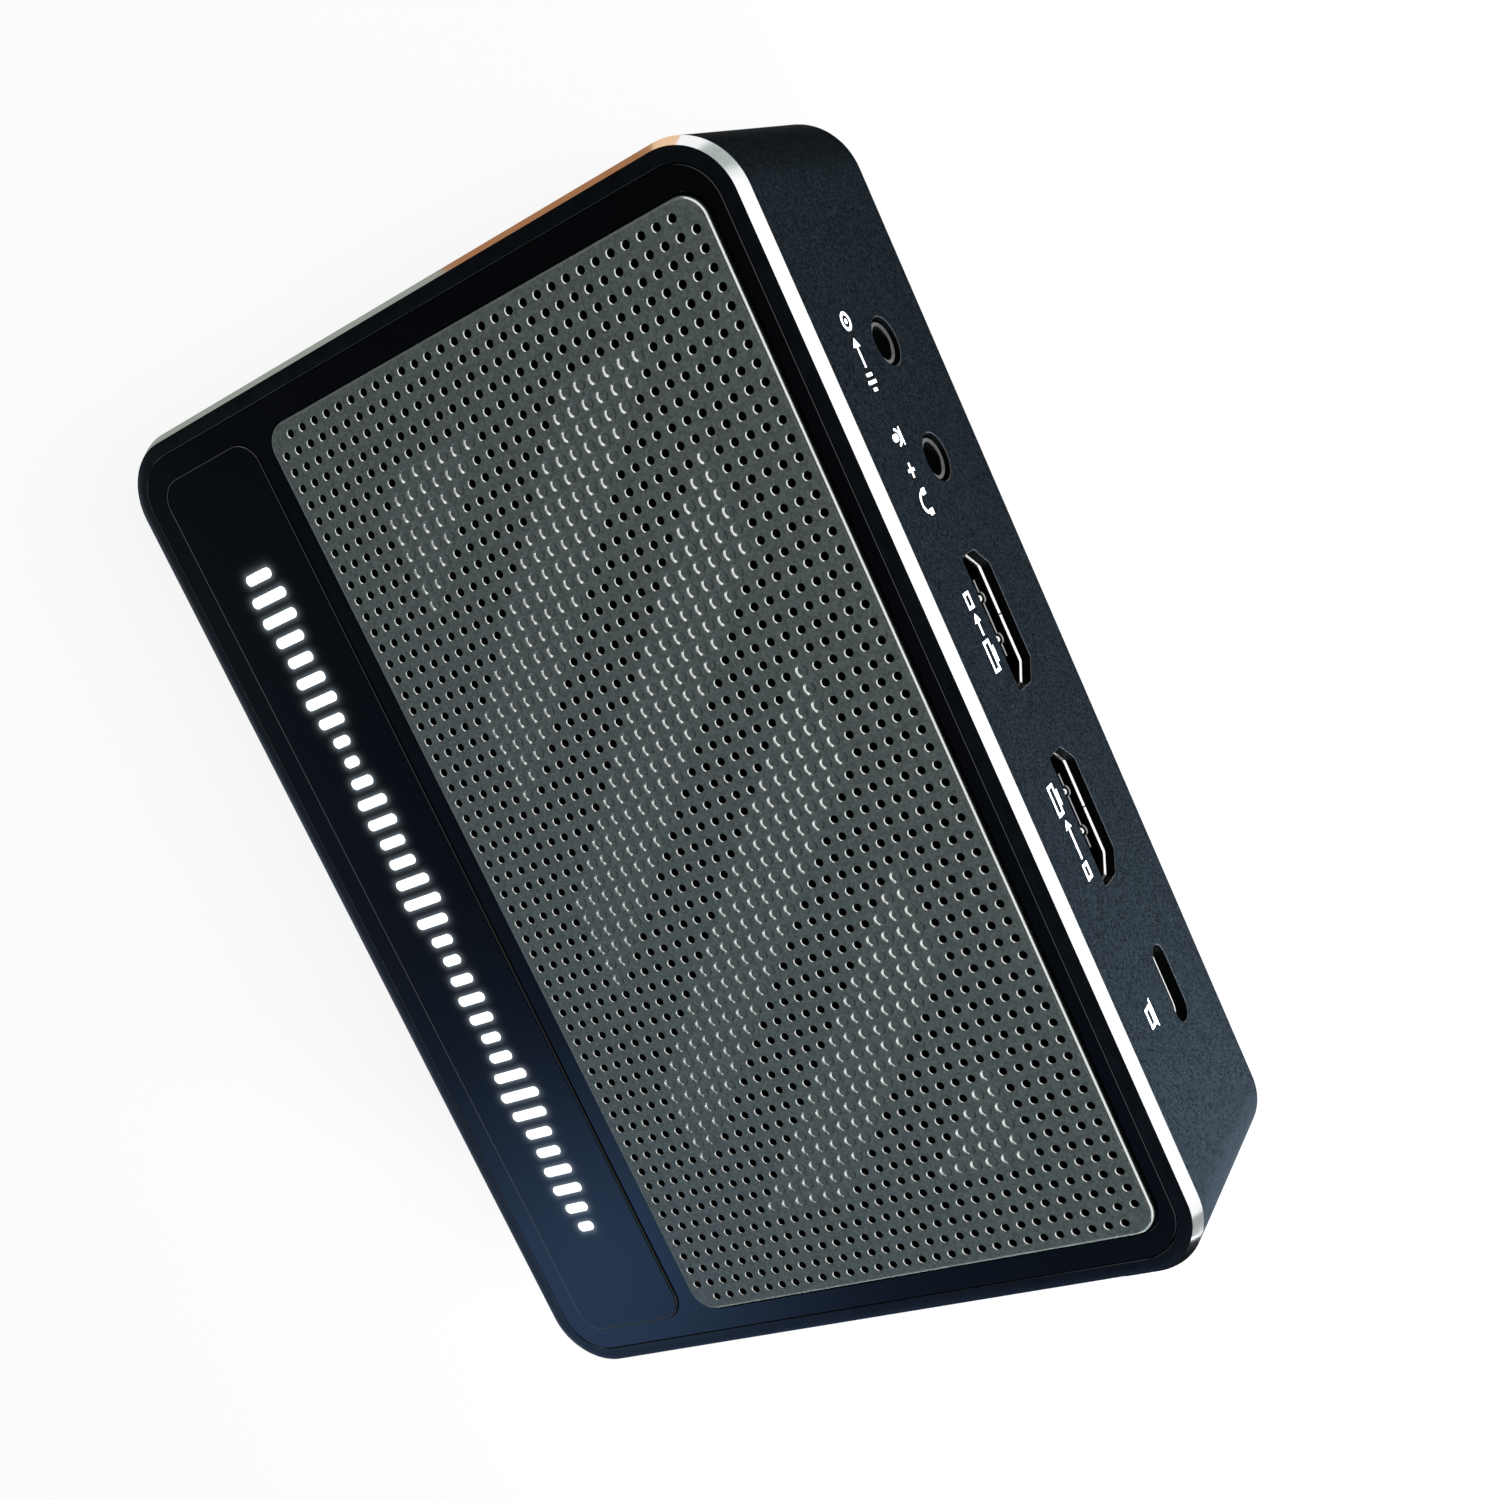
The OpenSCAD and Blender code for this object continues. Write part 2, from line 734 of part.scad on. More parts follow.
module usb_contacts() {
  from = usb_y - usb_l + usb_block_l;
  to = usb_y - usb_tongue_in - usb_pin_in;
  color([0.85, 0.7, 0.35]) translate([usb_x, 0, usb_z]) for (s = [-1, 1], i = [0 : usb_pins - 1])
    translate([(i - (usb_pins - 1) / 2) * usb_pin_pitch, 0, 0]) along_y(from, to)
      translate([0, s * (usb_tongue_t + usb_pin_t) / 2])
        square([usb_pin_w, usb_pin_t], center = true);
}

// Electronics

module capture_chip() {
  color([0.07, 0.07, 0.08]) block(chip_at, [chip_side, chip_side, chip_h], board_top);
}

module thermal_pad() {
  color([0.6, 0.65, 0.75]) block(chip_at, [chip_side, chip_side, pad_t], board_top + chip_h);
}

module heat_sink() {
  low = board_top + chip_h + pad_t;
  plate = 1.6;
  fin_t = 1;
  fin_pitch = (sink_side - fin_t) / (sink_fins - 1);
  color([0.12, 0.12, 0.13]) {
    block(chip_at, [sink_side, sink_side, plate], low);
    for (i = [0 : sink_fins - 1])
      block([chip_at[0] + (i - (sink_fins - 1) / 2) * fin_pitch, chip_at[1]],
        [fin_t, sink_side, sink_h], low);
  }
}

module memory_chips() { color([0.07, 0.07, 0.08]) for (p = memory_at) block(p, memory_size, board_top); }
module input_receiver() { color([0.07, 0.07, 0.08]) block(receiver_at, receiver_size, board_top); }
module output_driver() { color([0.07, 0.07, 0.08]) block(driver_at, driver_size, board_top); }
module usb_bridge() { color([0.07, 0.07, 0.08]) block(bridge_at, bridge_size, board_top); }
module audio_codec() { color([0.07, 0.07, 0.08]) block(codec_at, codec_size, board_top); }
module flash_chip() { color([0.07, 0.07, 0.08]) block(flash_at, flash_size, board_top); }
module crystals() { color([0.75, 0.75, 0.76]) for (p = crystal_at) block(p, crystal_size, board_top); }
module inductors() { color([0.25, 0.25, 0.26]) for (p = coil_at) block(p, coil_size, board_top); }

module can_capacitors() {
  color([0.75, 0.76, 0.78]) for (p = can_at) {
    block(p, can_base, board_top);
    rod(p[0], p[1], board_top + can_base[2], board_top + can_h, can_d);
  }
}

module chip_capacitors() {
  color([0.72, 0.62, 0.5]) for (i = [0 : cap_cols - 1], j = [0 : cap_rows - 1])
    block([cap_at[0] + i * cap_pitch, cap_at[1] + j * cap_pitch], cap_size, board_top);
}

side_frame();
top_cover();
grille();
indicator_window();
light_guide();
led_board();
indicator_leds();
led_screws();
led_header();
led_header_pins();
bottom_cover();
rubber_feet();
case_screws();
main_board();
board_screws();
line_in_jack();
line_in_contacts();
headset_jack();
headset_contacts();
video_in_shell();
video_in_insulator();
video_in_contacts();
video_out_shell();
video_out_insulator();
video_out_contacts();
usb_shell();
usb_insulator();
usb_contacts();
capture_chip();
thermal_pad();
heat_sink();
memory_chips();
input_receiver();
output_driver();
usb_bridge();
audio_codec();
flash_chip();
crystals();
inductors();
can_capacitors();
chip_capacitors();
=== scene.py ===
import math

import bmesh
import bpy
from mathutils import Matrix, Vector
from mathutils.geometry import tessellate_polygon


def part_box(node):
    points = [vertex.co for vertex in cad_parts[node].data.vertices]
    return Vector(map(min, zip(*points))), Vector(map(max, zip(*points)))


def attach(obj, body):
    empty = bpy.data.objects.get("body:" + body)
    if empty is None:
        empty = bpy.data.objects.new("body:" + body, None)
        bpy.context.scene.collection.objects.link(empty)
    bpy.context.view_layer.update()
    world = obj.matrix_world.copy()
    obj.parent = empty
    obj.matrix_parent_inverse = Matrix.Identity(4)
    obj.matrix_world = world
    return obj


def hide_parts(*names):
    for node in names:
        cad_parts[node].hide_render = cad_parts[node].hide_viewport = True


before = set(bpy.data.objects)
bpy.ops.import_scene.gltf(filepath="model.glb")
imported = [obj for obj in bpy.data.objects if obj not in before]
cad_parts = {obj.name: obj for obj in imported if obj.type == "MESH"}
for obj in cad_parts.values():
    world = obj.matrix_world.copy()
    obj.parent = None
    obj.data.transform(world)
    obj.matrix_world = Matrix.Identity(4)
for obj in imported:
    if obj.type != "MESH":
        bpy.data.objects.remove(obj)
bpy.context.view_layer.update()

# Bottom cover
# A flat plate of moulded black ABS with four standoffs for the board. It drops into the frame
# from below and is held by four countersunk screws.

MM = 0.001


def linear(hex_colour):
    """An sRGB hex colour as the linear values that a shader takes."""
    parts = [int(hex_colour[i:i + 2], 16) / 255 for i in (1, 3, 5)]
    return [p / 12.92 if p <= 0.04045 else ((p + 0.055) / 1.055) ** 2.4 for p in parts] + [1.0]


def add(tree, kind, inputs=None, **settings):
    """Adds a node with its settings; each input takes a plain value or another node's output."""
    made = tree.nodes.new(kind)
    for name, value in settings.items():
        setattr(made, name, value)
    for key, value in (inputs or {}).items():
        if isinstance(value, bpy.types.NodeSocket):
            tree.links.new(value, made.inputs[key])
        else:
            made.inputs[key].default_value = value
    return made


def new_finish(name, grain, dark, light, rough, depth=0.0, **sockets):
    """Makes a material that is broken up at one grain size in mm: the colour moves between two hex
    values, the roughness between two numbers, and the surface by a depth in mm. The shader's other
    sockets take plain values."""
    material = bpy.data.materials.new(name)
    material.use_nodes = True
    tree = material.node_tree
    shader = tree.nodes["Principled BSDF"]
    for socket, value in sockets.items():
        shader.inputs[socket.replace("_", " ").title().replace("Ior", "IOR")].default_value = value
    place = add(tree, "ShaderNodeTexCoord").outputs["Object"]
    noise = add(tree, "ShaderNodeTexNoise", {"Vector": place, "Scale": 1 / (grain * MM), "Detail": 3.0})
    level = add(tree, "ShaderNodeMapRange", {0: noise.outputs[0], 1: 0.3, 2: 0.7}).outputs[0]
    colour = add(tree, "ShaderNodeMix", {0: level, 6: linear(dark), 7: linear(light)}, data_type="RGBA")
    tree.links.new(colour.outputs[2], shader.inputs["Base Color"])
    roughness = add(tree, "ShaderNodeMapRange", {0: level, 3: rough[0], 4: rough[1]})
    tree.links.new(roughness.outputs[0], shader.inputs["Roughness"])
    if depth:
        bump = add(tree, "ShaderNodeBump", {"Height": level, "Distance": depth * MM, "Strength": 1.0})
        tree.links.new(bump.outputs[0], shader.inputs["Normal"])
    return material


def coat(material, *names):
    """Gives CAD nodes a finish."""
    for name in names:
        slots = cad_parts[name].data.materials
        slots.clear()
        slots.append(material)


# Moulded ABS with spark-eroded texture: a dull black, broken up by grains of about 0.4 mm.
moulded_abs = new_finish("moulded_abs_spark_texture", 0.4, "#101113", "#191a1c", (0.5, 0.68), 0.03,
                         ior=1.53)
coat(moulded_abs, "bottom_cover")

# Rubber feet
# Four discs of black silicone rubber, pressed into round recesses in the bottom cover, with a
# rounded lower edge.

ROUND_STEPS = 40


class Form:
    """Collects one piece's points in millimetres and its faces, each with the number of its finish."""

    def __init__(self):
        self.points, self.faces, self.finishes = [], [], []

    def loop(self, points):
        first = len(self.points)
        self.points.extend(points)
        return list(range(first, len(self.points)))

    def face(self, corners, finish=0):
        self.faces.append(corners)
        self.finishes.append(finish)

    def wall(self, one, other, finish=0, closed=True):
        """Joins two rows that have as many points, and their ends too where they are closed."""
        for i in range(len(one) if closed else len(one) - 1):
            nxt = (i + 1) % len(one)
            self.face([one[i], one[nxt], other[nxt], other[i]], finish)

    def loft(self, outlines, finish=0):
        """Joins a row of outlines and returns their loops."""
        loops = [self.loop(outline) for outline in outlines]
        for one, other in zip(loops, loops[1:]):
            self.wall(one, other, finish)
        return loops

    def plate(self, outline, holes=(), finish=0):
        """Fills a flat loop, round any holes."""
        loops = [outline, *holes]
        numbers = [number for loop in loops for number in loop]
        flat = [[Vector(self.points[number]) for number in loop] for loop in loops]
        for corners in tessellate_polygon(flat):
            self.face([numbers[c] for c in corners], finish)


def mesh_object(name, form, materials, smooth=30):
    """Makes the object of a form, smooth but for the edges that turn by more than an angle."""
    mesh = bpy.data.meshes.new(name)
    mesh.from_pydata([(x * MM, y * MM, z * MM) for x, y, z in form.points], [], form.faces)
    mesh.polygons.foreach_set("material_index", form.finishes)
    for material in materials:
        mesh.materials.append(material)
    bm = bmesh.new()
    bm.from_mesh(mesh)
    bmesh.ops.recalc_face_normals(bm, faces=bm.faces)
    bm.to_mesh(mesh)
    bm.free()
    mesh.polygons.foreach_set("use_smooth", [True] * len(mesh.polygons))
    mesh.set_sharp_from_angle(angle=math.radians(smooth))
    made = bpy.data.objects.new(name, mesh)
    bpy.context.scene.collection.objects.link(made)
    return made


def fit_piece(made, slot, *nodes):
    """Evens out a finished piece's shading and seats it: it rides on the part's one body and stands
    for these nodes."""
    even = made.modifiers.new("even_shading", "WEIGHTED_NORMAL")
    even.keep_sharp = True
    bpy.context.view_layer.objects.active = made
    bpy.ops.object.modifier_apply(modifier=even.name)
    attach(made, "root")
    if nodes:
        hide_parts(*nodes)


def circle(x, y, z, radius, steps=ROUND_STEPS):
    """A level circle."""
    turns = [2 * math.pi * i / steps for i in range(steps)]
    return [(x + radius * math.cos(a), y + radius * math.sin(a), z) for a in turns]


def span(node):
    """The lowest and highest corner of a CAD node, in millimetres."""
    low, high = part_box(node)
    return low / MM, high / MM


def edge_round(radius, steps=4):
    """A rounded edge from the side to the face: how far each step lies in from the side, and how far
    below the face."""
    turns = [math.radians(90 * turn / steps) for turn in range(steps + 1)]
    return [(radius * (1 - math.cos(a)), radius * (1 - math.sin(a))) for a in turns]


# Silicone rubber, cast: almost black, matt, with a faint bloom in patches of about 1 mm.
silicone = new_finish("cast_silicone_rubber", 1.0, "#0e0e0f", "#161617", (0.62, 0.8), 0.01, ior=1.41)

foot_low, foot_high = span("rubber_feet")
foot_r = 5.0
foot_edge = 0.5
feet = Form()
for x in (foot_low.x + foot_r, foot_high.x - foot_r):
    for y in (foot_low.y + foot_r, foot_high.y - foot_r):
        rings = [circle(x, y, foot_high.z, foot_r)]
        for inset, drop in edge_round(foot_edge):
            rings.append(circle(x, y, foot_low.z + drop, foot_r - inset))
        loops = feet.loft(rings)
        feet.plate(loops[0])
        feet.plate(loops[-1])
fit_piece(mesh_object("foot_discs", feet, [silicone]), "foot_rubber", "rubber_feet")

# Case screws
# Four countersunk M2.5 steel screws with a cross recess, turned and blackened. They pass through
# the bottom cover and the frame's posts into bosses under the top cover.

# Black oxide on steel: a thin dark film, with bare metal glinting in specks of about 0.3 mm.
black_oxide = new_finish("black_oxide_steel", 0.3, "#1c1c1e", "#3a3a3c", (0.35, 0.5), 0.004,
                         metallic=0.8)

screw_low, screw_high = span("case_screws")
head_r = 2.35
head_h = 1.3
shank_r = 1.25
cross_reach = 1.3
cross_half = 0.28
cross_depth = 0.9
cross_taper = 0.8
screws = Form()
for x in (screw_low.x + head_r, screw_high.x - head_r):
    for y in (screw_low.y + head_r, screw_high.y - head_r):
        z = screw_low.z
        rings = [circle(x, y, z, head_r), circle(x, y, z + head_h, shank_r)]
        loops = screws.loft(rings + [circle(x, y, screw_high.z, shank_r)])
        screws.plate(loops[-1])
        arm, half = cross_reach, cross_half
        cross = [(arm, -half), (arm, half), (half, half), (half, arm), (-half, arm), (-half, half),
                 (-arm, half), (-arm, -half), (-half, -half), (-half, -arm), (half, -arm), (half, -half)]
        mouth = screws.loop([(x + u, y + v, z) for u, v in cross])
        pit = [(x + u * cross_taper, y + v * cross_taper, z + cross_depth) for u, v in cross]
        pit_loop = screws.loop(pit)
        screws.wall(mouth, pit_loop)
        screws.plate(pit_loop)
        screws.plate(loops[0], [mouth])
fit_piece(mesh_object("countersunk_screws", screws, [black_oxide]), "black_screws", "case_screws")

# Main board and its parts
# A glass-epoxy board on the standoffs, with the capture chip under a finned heat sink, memory,
# video, audio and bridge chips, and its supply parts. Nothing of it shows once the case is closed.

# Solder mask over glass cloth: deep green, glossy, with the weave faintly printed through at 0.5 mm.
solder_mask = new_finish("solder_mask_on_glass_cloth", 0.5, "#0d3324", "#144932", (0.25, 0.4), 0.01,
                         ior=1.52)
coat(solder_mask, "main_board")

# Transfer-moulded epoxy: charcoal, fine-grained at about 0.15 mm.
chip_epoxy = new_finish("transfer_moulded_epoxy", 0.15, "#17181a", "#222326", (0.5, 0.65), 0.01,
                        ior=1.55)
coat(chip_epoxy, "capture_chip", "memory_chips", "input_receiver", "output_driver", "usb_bridge",
     "audio_codec", "flash_chip")

# Filled silicone sheet, cast: grey-blue, soft and matt.
thermal_sheet = new_finish("filled_silicone_sheet", 0.6, "#8a93a6", "#a3abbb", (0.7, 0.85), 0.02,
                           ior=1.42)
coat(thermal_sheet, "thermal_pad")

# Extruded aluminium, dyed black: a satin with fine draw lines.
sink_metal = new_finish("extruded_black_aluminium", 0.25, "#1b1b1d", "#29292b", (0.38, 0.52), 0.006,
                        metallic=0.6)
coat(sink_metal, "heat_sink")

# Plated steel can, drawn: pale grey metal.
plated_can = new_finish("plated_drawn_can", 0.3, "#a8a8a6", "#c3c3c0", (0.22, 0.34), 0.003, metallic=1.0)
coat(plated_can, "crystals", "can_capacitors", "board_screws")

# Pressed ferrite: dark grey and dull, with open grain at about 0.25 mm.
ferrite = new_finish("pressed_ferrite", 0.25, "#2b2b2d", "#3d3d40", (0.6, 0.8), 0.03, ior=1.6)
coat(ferrite, "inductors")

# Fired ceramic: tan, slightly glazed.
ceramic = new_finish("fired_ceramic", 0.2, "#9c8262", "#b89b77", (0.35, 0.5), 0.005, ior=1.6)
coat(ceramic, "chip_capacitors")

# Jack sockets
# Two 3.5 mm jacks moulded in black nylon, soldered to the board. Each nose stands in a round hole
# of the frame, a little behind its face, with a rounded lip round the bore.

# Moulded nylon, polished in the mould: black with a wet-looking lip.
nylon = new_finish("moulded_black_nylon", 0.8, "#020303", "#050606", (0.12, 0.2),
                   ior=1.53, specular_ior_level=1.0)

# Gold flash on brass: warm and bright, slightly uneven.
gold_flash = new_finish("gold_flash_on_brass", 0.3, "#c9a45a", "#dcbd78", (0.2, 0.32), 0.002,
                        metallic=1.0)
coat(gold_flash, "line_in_contacts", "headset_contacts", "video_in_contacts", "video_out_contacts",
     "usb_contacts", "led_header_pins")


def upright(x, y, z, radius, steps=ROUND_STEPS):
    """A circle that faces along Y."""
    turns = [2 * math.pi * i / steps for i in range(steps)]
    return [(x + radius * math.cos(a), y, z + radius * math.sin(a)) for a in turns]


def rounded(length, width, radius, z, centre=(0.0, 0.0), steps=12):
    """A level rectangle with round corners, drawn anticlockwise from its +X side."""
    points = []
    for quarter, (sx, sy) in enumerate(((1, 1), (-1, 1), (-1, -1), (1, -1))):
        mid_x = centre[0] + sx * (length / 2 - radius)
        mid_y = centre[1] + sy * (width / 2 - radius)
        for step in range(steps + 1):
            a = math.radians(90) * (quarter + step / steps)
            points.append((mid_x + radius * math.cos(a), mid_y + radius * math.sin(a), z))
    return points


def facing_y(level_points, x, y, z):
    """Turns a level outline up so that it faces along Y, about a point."""
    return [(x + u, y, z + v) for u, v, _ in level_points]


jack_nose_r = 2.5
jack_bore_r = 1.8
jack_bore_depth = 14.0
jack_lip = 0.28
jack_swell = (jack_nose_r - jack_bore_r) / 2
jack_body_r = 0.4
jack_wall_gap = 2.2
for node in ("line_in_jack", "headset_jack"):
    low, high = span(node)
    x, z = (low.x + high.x) / 2, (low.z + high.z) / 2
    front, face_y = high.y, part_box("side_frame")[1].y / MM - jack_wall_gap
    jack = Form()
    body = rounded(high.x - low.x, high.z - low.z, jack_body_r, 0, steps=3)
    back, mouth = jack.loft([facing_y(body, x, y, z) for y in (low.y, face_y)])
    jack.plate(back)
    nose = [(face_y, jack_nose_r)]
    for turn in range(9):
        a = math.radians(180 * turn / 8)
        nose.append((front - jack_lip * (1 - math.sin(a)), jack_nose_r - jack_swell * (1 - math.cos(a))))
    nose.append((front - jack_bore_depth, jack_bore_r))
    rings = jack.loft([upright(x, y, z, r) for y, r in nose])
    jack.plate(mouth, [rings[0]])
    jack.plate(rings[-1])
    fit_piece(mesh_object(node + "_body", jack, [nylon], smooth=50), "black_nylon", node)

# Video sockets
# Two wide receptacles with 19 gold contacts on a nylon tongue. Each shell is bent from thin
# nickel-plated steel, closed by a seam underneath, with a flared mouth and two spring bumps.

# Nickel plate on drawn sheet: bright and slightly warm, clouded in patches of about 0.6 mm.
nickel = new_finish("nickel_plated_sheet", 0.6, "#e4e3df", "#efeeea", (0.14, 0.2), metallic=1.0)

# The same plate inside the sockets: rougher, as worn by plugs, and painted dark as shade, with a dim sheen.
nickel_worn_and_painted_shade = new_finish("nickel_inside_socket_worn_and_painted_shade", 0.6, "#151413", "#201f1d", (0.3, 0.4),
                         metallic=1.0)

# Sheared edges of the spring leaf: the plate is torn there, so they are greyer than the lip.
sheared_nickel = new_finish("sheared_nickel_edge", 0.3, "#8a8c8e", "#a0a2a4", (0.3, 0.4), metallic=1.0)
coat(nylon, "video_in_insulator", "video_out_insulator", "usb_insulator", "led_header")

video_half_w, video_half_h = 7.5, 2.8
video_slant_w, video_slant_h = 1.9, 2.1
slant_spread = 1.2


def video_corners(grow):
    """A video socket's six corners from its lower edge round, with its lower corners cut off."""
    half_w, half_h = video_half_w + grow, video_half_h + grow
    slant_w, slant_h = video_slant_w + slant_spread * grow, video_slant_h + slant_spread * grow
    return [(half_w - slant_w, -half_h), (half_w, slant_h - half_h), (half_w, half_h),
            (-half_w, half_h), (-half_w, slant_h - half_h), (slant_w - half_w, -half_h)]


def filleted(corners, radius, steps=4):
    """Rounds a polygon's corners by arcs of one radius; returns a level outline."""
    points = []
    for i, corner in enumerate(corners):
        at = Vector(corner)
        back = (Vector(corners[i - 1]) - at).normalized()
        ahead = (Vector(corners[(i + 1) % len(corners)]) - at).normalized()
        half = back.angle(ahead) / 2
        middle = at + (back + ahead).normalized() * radius / math.sin(half)
        first = at + back * radius / math.tan(half) - middle
        last = at + ahead * radius / math.tan(half) - middle
        for step in range(steps + 1):
            spoke = first.lerp(last, step / steps).normalized() * radius
            points.append((middle.x + spoke.x, middle.y + spoke.y, 0))
    return points


sheet = 0.3
bend_r = 0.45
flare, flare_starts, flare_ends = 0.2, 1.0, 0.4
lip_round, lip_w, lip_slope = 0.04, 0.12, 0.2
throat_back = 0.5
seam = 0.16
leaf_l, leaf_w, leaf_back = 9.1, 4.8, 1.1
leaf_t, leaf_edge = 0.2, 0.1
bump_r, bump_h = 0.5, 0.36
bump_apart, bump_back = 4.86, 1.5
bulge_w, bulge_l = 0.68, 0.4
leg_l, leg_clear = 2.0, 3.0
board_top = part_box("main_board")[1].z / MM


def box_outline(mid_x, mid_y, length, width, z):
    """A level rectangle with sharp corners."""
    return [(mid_x + u * length / 2, mid_y + v * width / 2, z)
            for u, v in ((1, 1), (-1, 1), (-1, -1), (1, -1))]


def block(form, low_outline, high_outline):
    """A closed block between two outlines."""
    for loop in form.loft([low_outline, high_outline]):
        form.plate(loop)


for node in ("video_in_shell", "video_out_shell"):
    low, high = span(node)
    x, mouth_y = (low.x + high.x) / 2, high.y
    z = high.z - video_half_h
    shell = Form()
    # Each row of the sheet: its place along Y, how far it stands out, and the finish that follows; finish
    # 1, inside the mouth, is the plate painted dark as shade.
    run = [(low.y, 0, 0), (mouth_y - flare_starts, 0, 0), (mouth_y - flare_ends, flare, 0),
           (mouth_y - lip_round, flare, 0), (mouth_y, flare - lip_round, 0), (mouth_y, flare - lip_w, 0),
           (mouth_y - lip_slope, flare - lip_w - lip_slope, 1), (mouth_y - throat_back, -sheet, 1),
           (low.y, -sheet, 1)]
    rows = []
    for y, grow, _ in run:
        half_h = video_half_h + grow
        bent = filleted(video_corners(grow), bend_r)
        outline = [(seam / 2, -half_h, 0), *bent, (-seam / 2, -half_h, 0)]
        rows.append(shell.loop(facing_y(outline, x, y, z)))
    for number, (_, _, finish) in enumerate(run):
        shell.wall(rows[number], rows[(number + 1) % len(rows)], finish, closed=False)
    shell.face([row[0] for row in rows], 1)
    shell.face([row[-1] for row in rows], 1)
    floor_z = z - video_half_h + sheet
    leaf_loops = []
    for inset, h in ((0, floor_z), (0, floor_z + leaf_t - leaf_edge), (leaf_edge, floor_z + leaf_t)):
        front_y = mouth_y - leaf_back - inset
        back_y, end_x = mouth_y - leaf_back - leaf_w + inset, leaf_l / 2 - inset
        path = [(x + end_x, back_y, h), (x + end_x, front_y, h)]
        for side in (1, -1):
            for turn in range(13):
                a = math.radians(15 * turn)
                along = x + side * bump_apart / 2 + (bulge_w - inset) * math.cos(a)
                path.append((along, front_y + bulge_l * math.sin(a), h))
        leaf_loops.append(shell.loop(path + [(x - end_x, front_y, h), (x - end_x, back_y, h)]))
    shell.wall(leaf_loops[0], leaf_loops[1], 1)
    shell.wall(leaf_loops[1], leaf_loops[2], 2)
    shell.plate(leaf_loops[0], finish=1)
    shell.plate(leaf_loops[2], finish=1)
    for side in (-1, 1):
        bump_at = (x + side * bump_apart / 2, mouth_y - bump_back)
        rings = []
        for turn in range(6):
            a = math.radians(15 * turn)
            height = floor_z + leaf_t + bump_h * math.sin(a)
            rings.append(circle(*bump_at, height, bump_r * math.cos(a), 24))
        caps = shell.loft(rings)
        shell.plate(caps[0])
        shell.plate(caps[-1])
        for along in (leg_l, high.y - low.y - leg_clear - leg_l):
            foot = (x + side * (video_half_w - video_slant_w - sheet / 2), low.y + along)
            block(shell, box_outline(*foot, sheet, leg_l, board_top),
                  box_outline(*foot, sheet, leg_l, z - video_half_h + sheet / 2))
    shell_finishes = [nickel, nickel_worn_and_painted_shade, sheared_nickel]
    fit_piece(mesh_object(node + "_sheet", shell, shell_finishes, smooth=35), "nickel_shell", node)

# Data socket
# One small reversible receptacle: a seamless shell with round ends, drawn from nickel-plated steel,
# round a thin tongue with gold contacts on both faces.

low, high = span("usb_shell")
usb_w, usb_h = high.x - low.x, 3.2
usb_break, usb_lip, usb_slope, usb_throat = 0.06, 0.12, 0.08, 0.3
sliver = 0.001


def usb_outline(grow):
    """The data socket's level outline, with a sliver of straight wall between its round ends."""
    return rounded(usb_w + 2 * grow, usb_h + 2 * grow, usb_h / 2 + grow - sliver, 0)


x, mouth_y = (low.x + high.x) / 2, high.y
z = high.z - usb_h / 2
shell = Form()
# Finish 1, inside the mouth, is the plate painted dark as shade.
run = [(low.y, 0, 0), (mouth_y - usb_break, 0, 0), (mouth_y, -usb_break, 0), (mouth_y, -usb_lip, 0),
       (mouth_y - usb_slope, -usb_lip - usb_slope, 1), (mouth_y - usb_throat, -sheet, 1),
       (low.y, -sheet, 1)]
loops = [shell.loop(facing_y(usb_outline(grow), x, y, z)) for y, grow, _ in run]
for number, (_, _, finish) in enumerate(run):
    shell.wall(loops[number], loops[(number + 1) % len(loops)], finish)
for side in (-1, 1):
    foot = (x + side * (usb_w - usb_h) / 2, low.y + leg_l)
    block(shell, box_outline(*foot, sheet, leg_l, board_top),
          box_outline(*foot, sheet, leg_l, z - usb_h / 2 + sheet / 2))
usb_sheet = mesh_object("usb_shell_sheet", shell, [nickel, nickel_worn_and_painted_shade], smooth=35)
fit_piece(usb_sheet, "nickel_shell", "usb_shell")

# Side frame
# A ring of aluminium, extruded, bead blasted and dyed black, then cut to a bright chamfer round the
# top. Five openings in its rear wall take the sockets, and a ledge inside carries the top cover.

# Bead-blasted, black-anodised aluminium: a soft charcoal sheen over pits too fine to show, so the
# grain is drawn at 0.25 mm. The dyed film takes the glare off at a slant.
blasted = new_finish("bead_blasted_black_anodised_aluminium", 0.25, "#0b0e10", "#21282c", (0.4, 0.52),
                     0.012, metallic=0.6, specular_ior_level=0.0, specular_tint=linear("#707070"))

# Diamond-cut aluminium, left bare under clear oxide: bright and nearly mirror-like, even in tone.
cut_metal = new_finish("diamond_cut_aluminium", 0.5, "#f3f4f5", "#f6f7f8", (0.1, 0.12), metallic=1.0)

# Milled walls of the openings, black anodised and painted darker still as the shade inside the openings,
# with almost no gloss.
milled_wall_painted_shade = new_finish("milled_black_anodised_wall_painted_shade", 0.3, "#010202", "#040505", (0.3, 0.4),
                         specular_ior_level=0.05)

# Broken edges of the openings, dyed black: smooth enough to catch the light.
milled_edge = new_finish("milled_black_anodised_edge", 0.3, "#15181c", "#1d2025", (0.25, 0.32),
                         specular_ior_level=0.5)

# Lapped and dyed rim: black, half gloss, with a faint cloud of about 2 mm.
lapped_rim = new_finish("lapped_black_anodised_rim", 2.0, "#06080a", "#0a0d10", (0.17, 0.22),
                        specular_ior_level=0.5)

case_low, case_high = span("side_frame")
case_l, case_w = case_high.x - case_low.x, case_high.y - case_low.y
rear_y = case_high.y
corner_r = 8.0
wall = 2.0
rim_w = 2.5
chamfer_w, chamfer_h = 0.85, 1.5
ledge_in, ledge_t = 5.0, 1.6
cover_t = 2.0
cover_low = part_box("top_cover")[1].z / MM - cover_t
foot_break = 0.25
rim_fall = 0.12
roll_mid, roll_mid_fall, roll_w = 0.4, 0.4 * rim_fall, 0.9
rim_break, rim_break_h = 0.06, 0.06
frame_smooth = 18
frame_finishes = [blasted, cut_metal, milled_wall_painted_shade, milled_edge, lapped_rim]
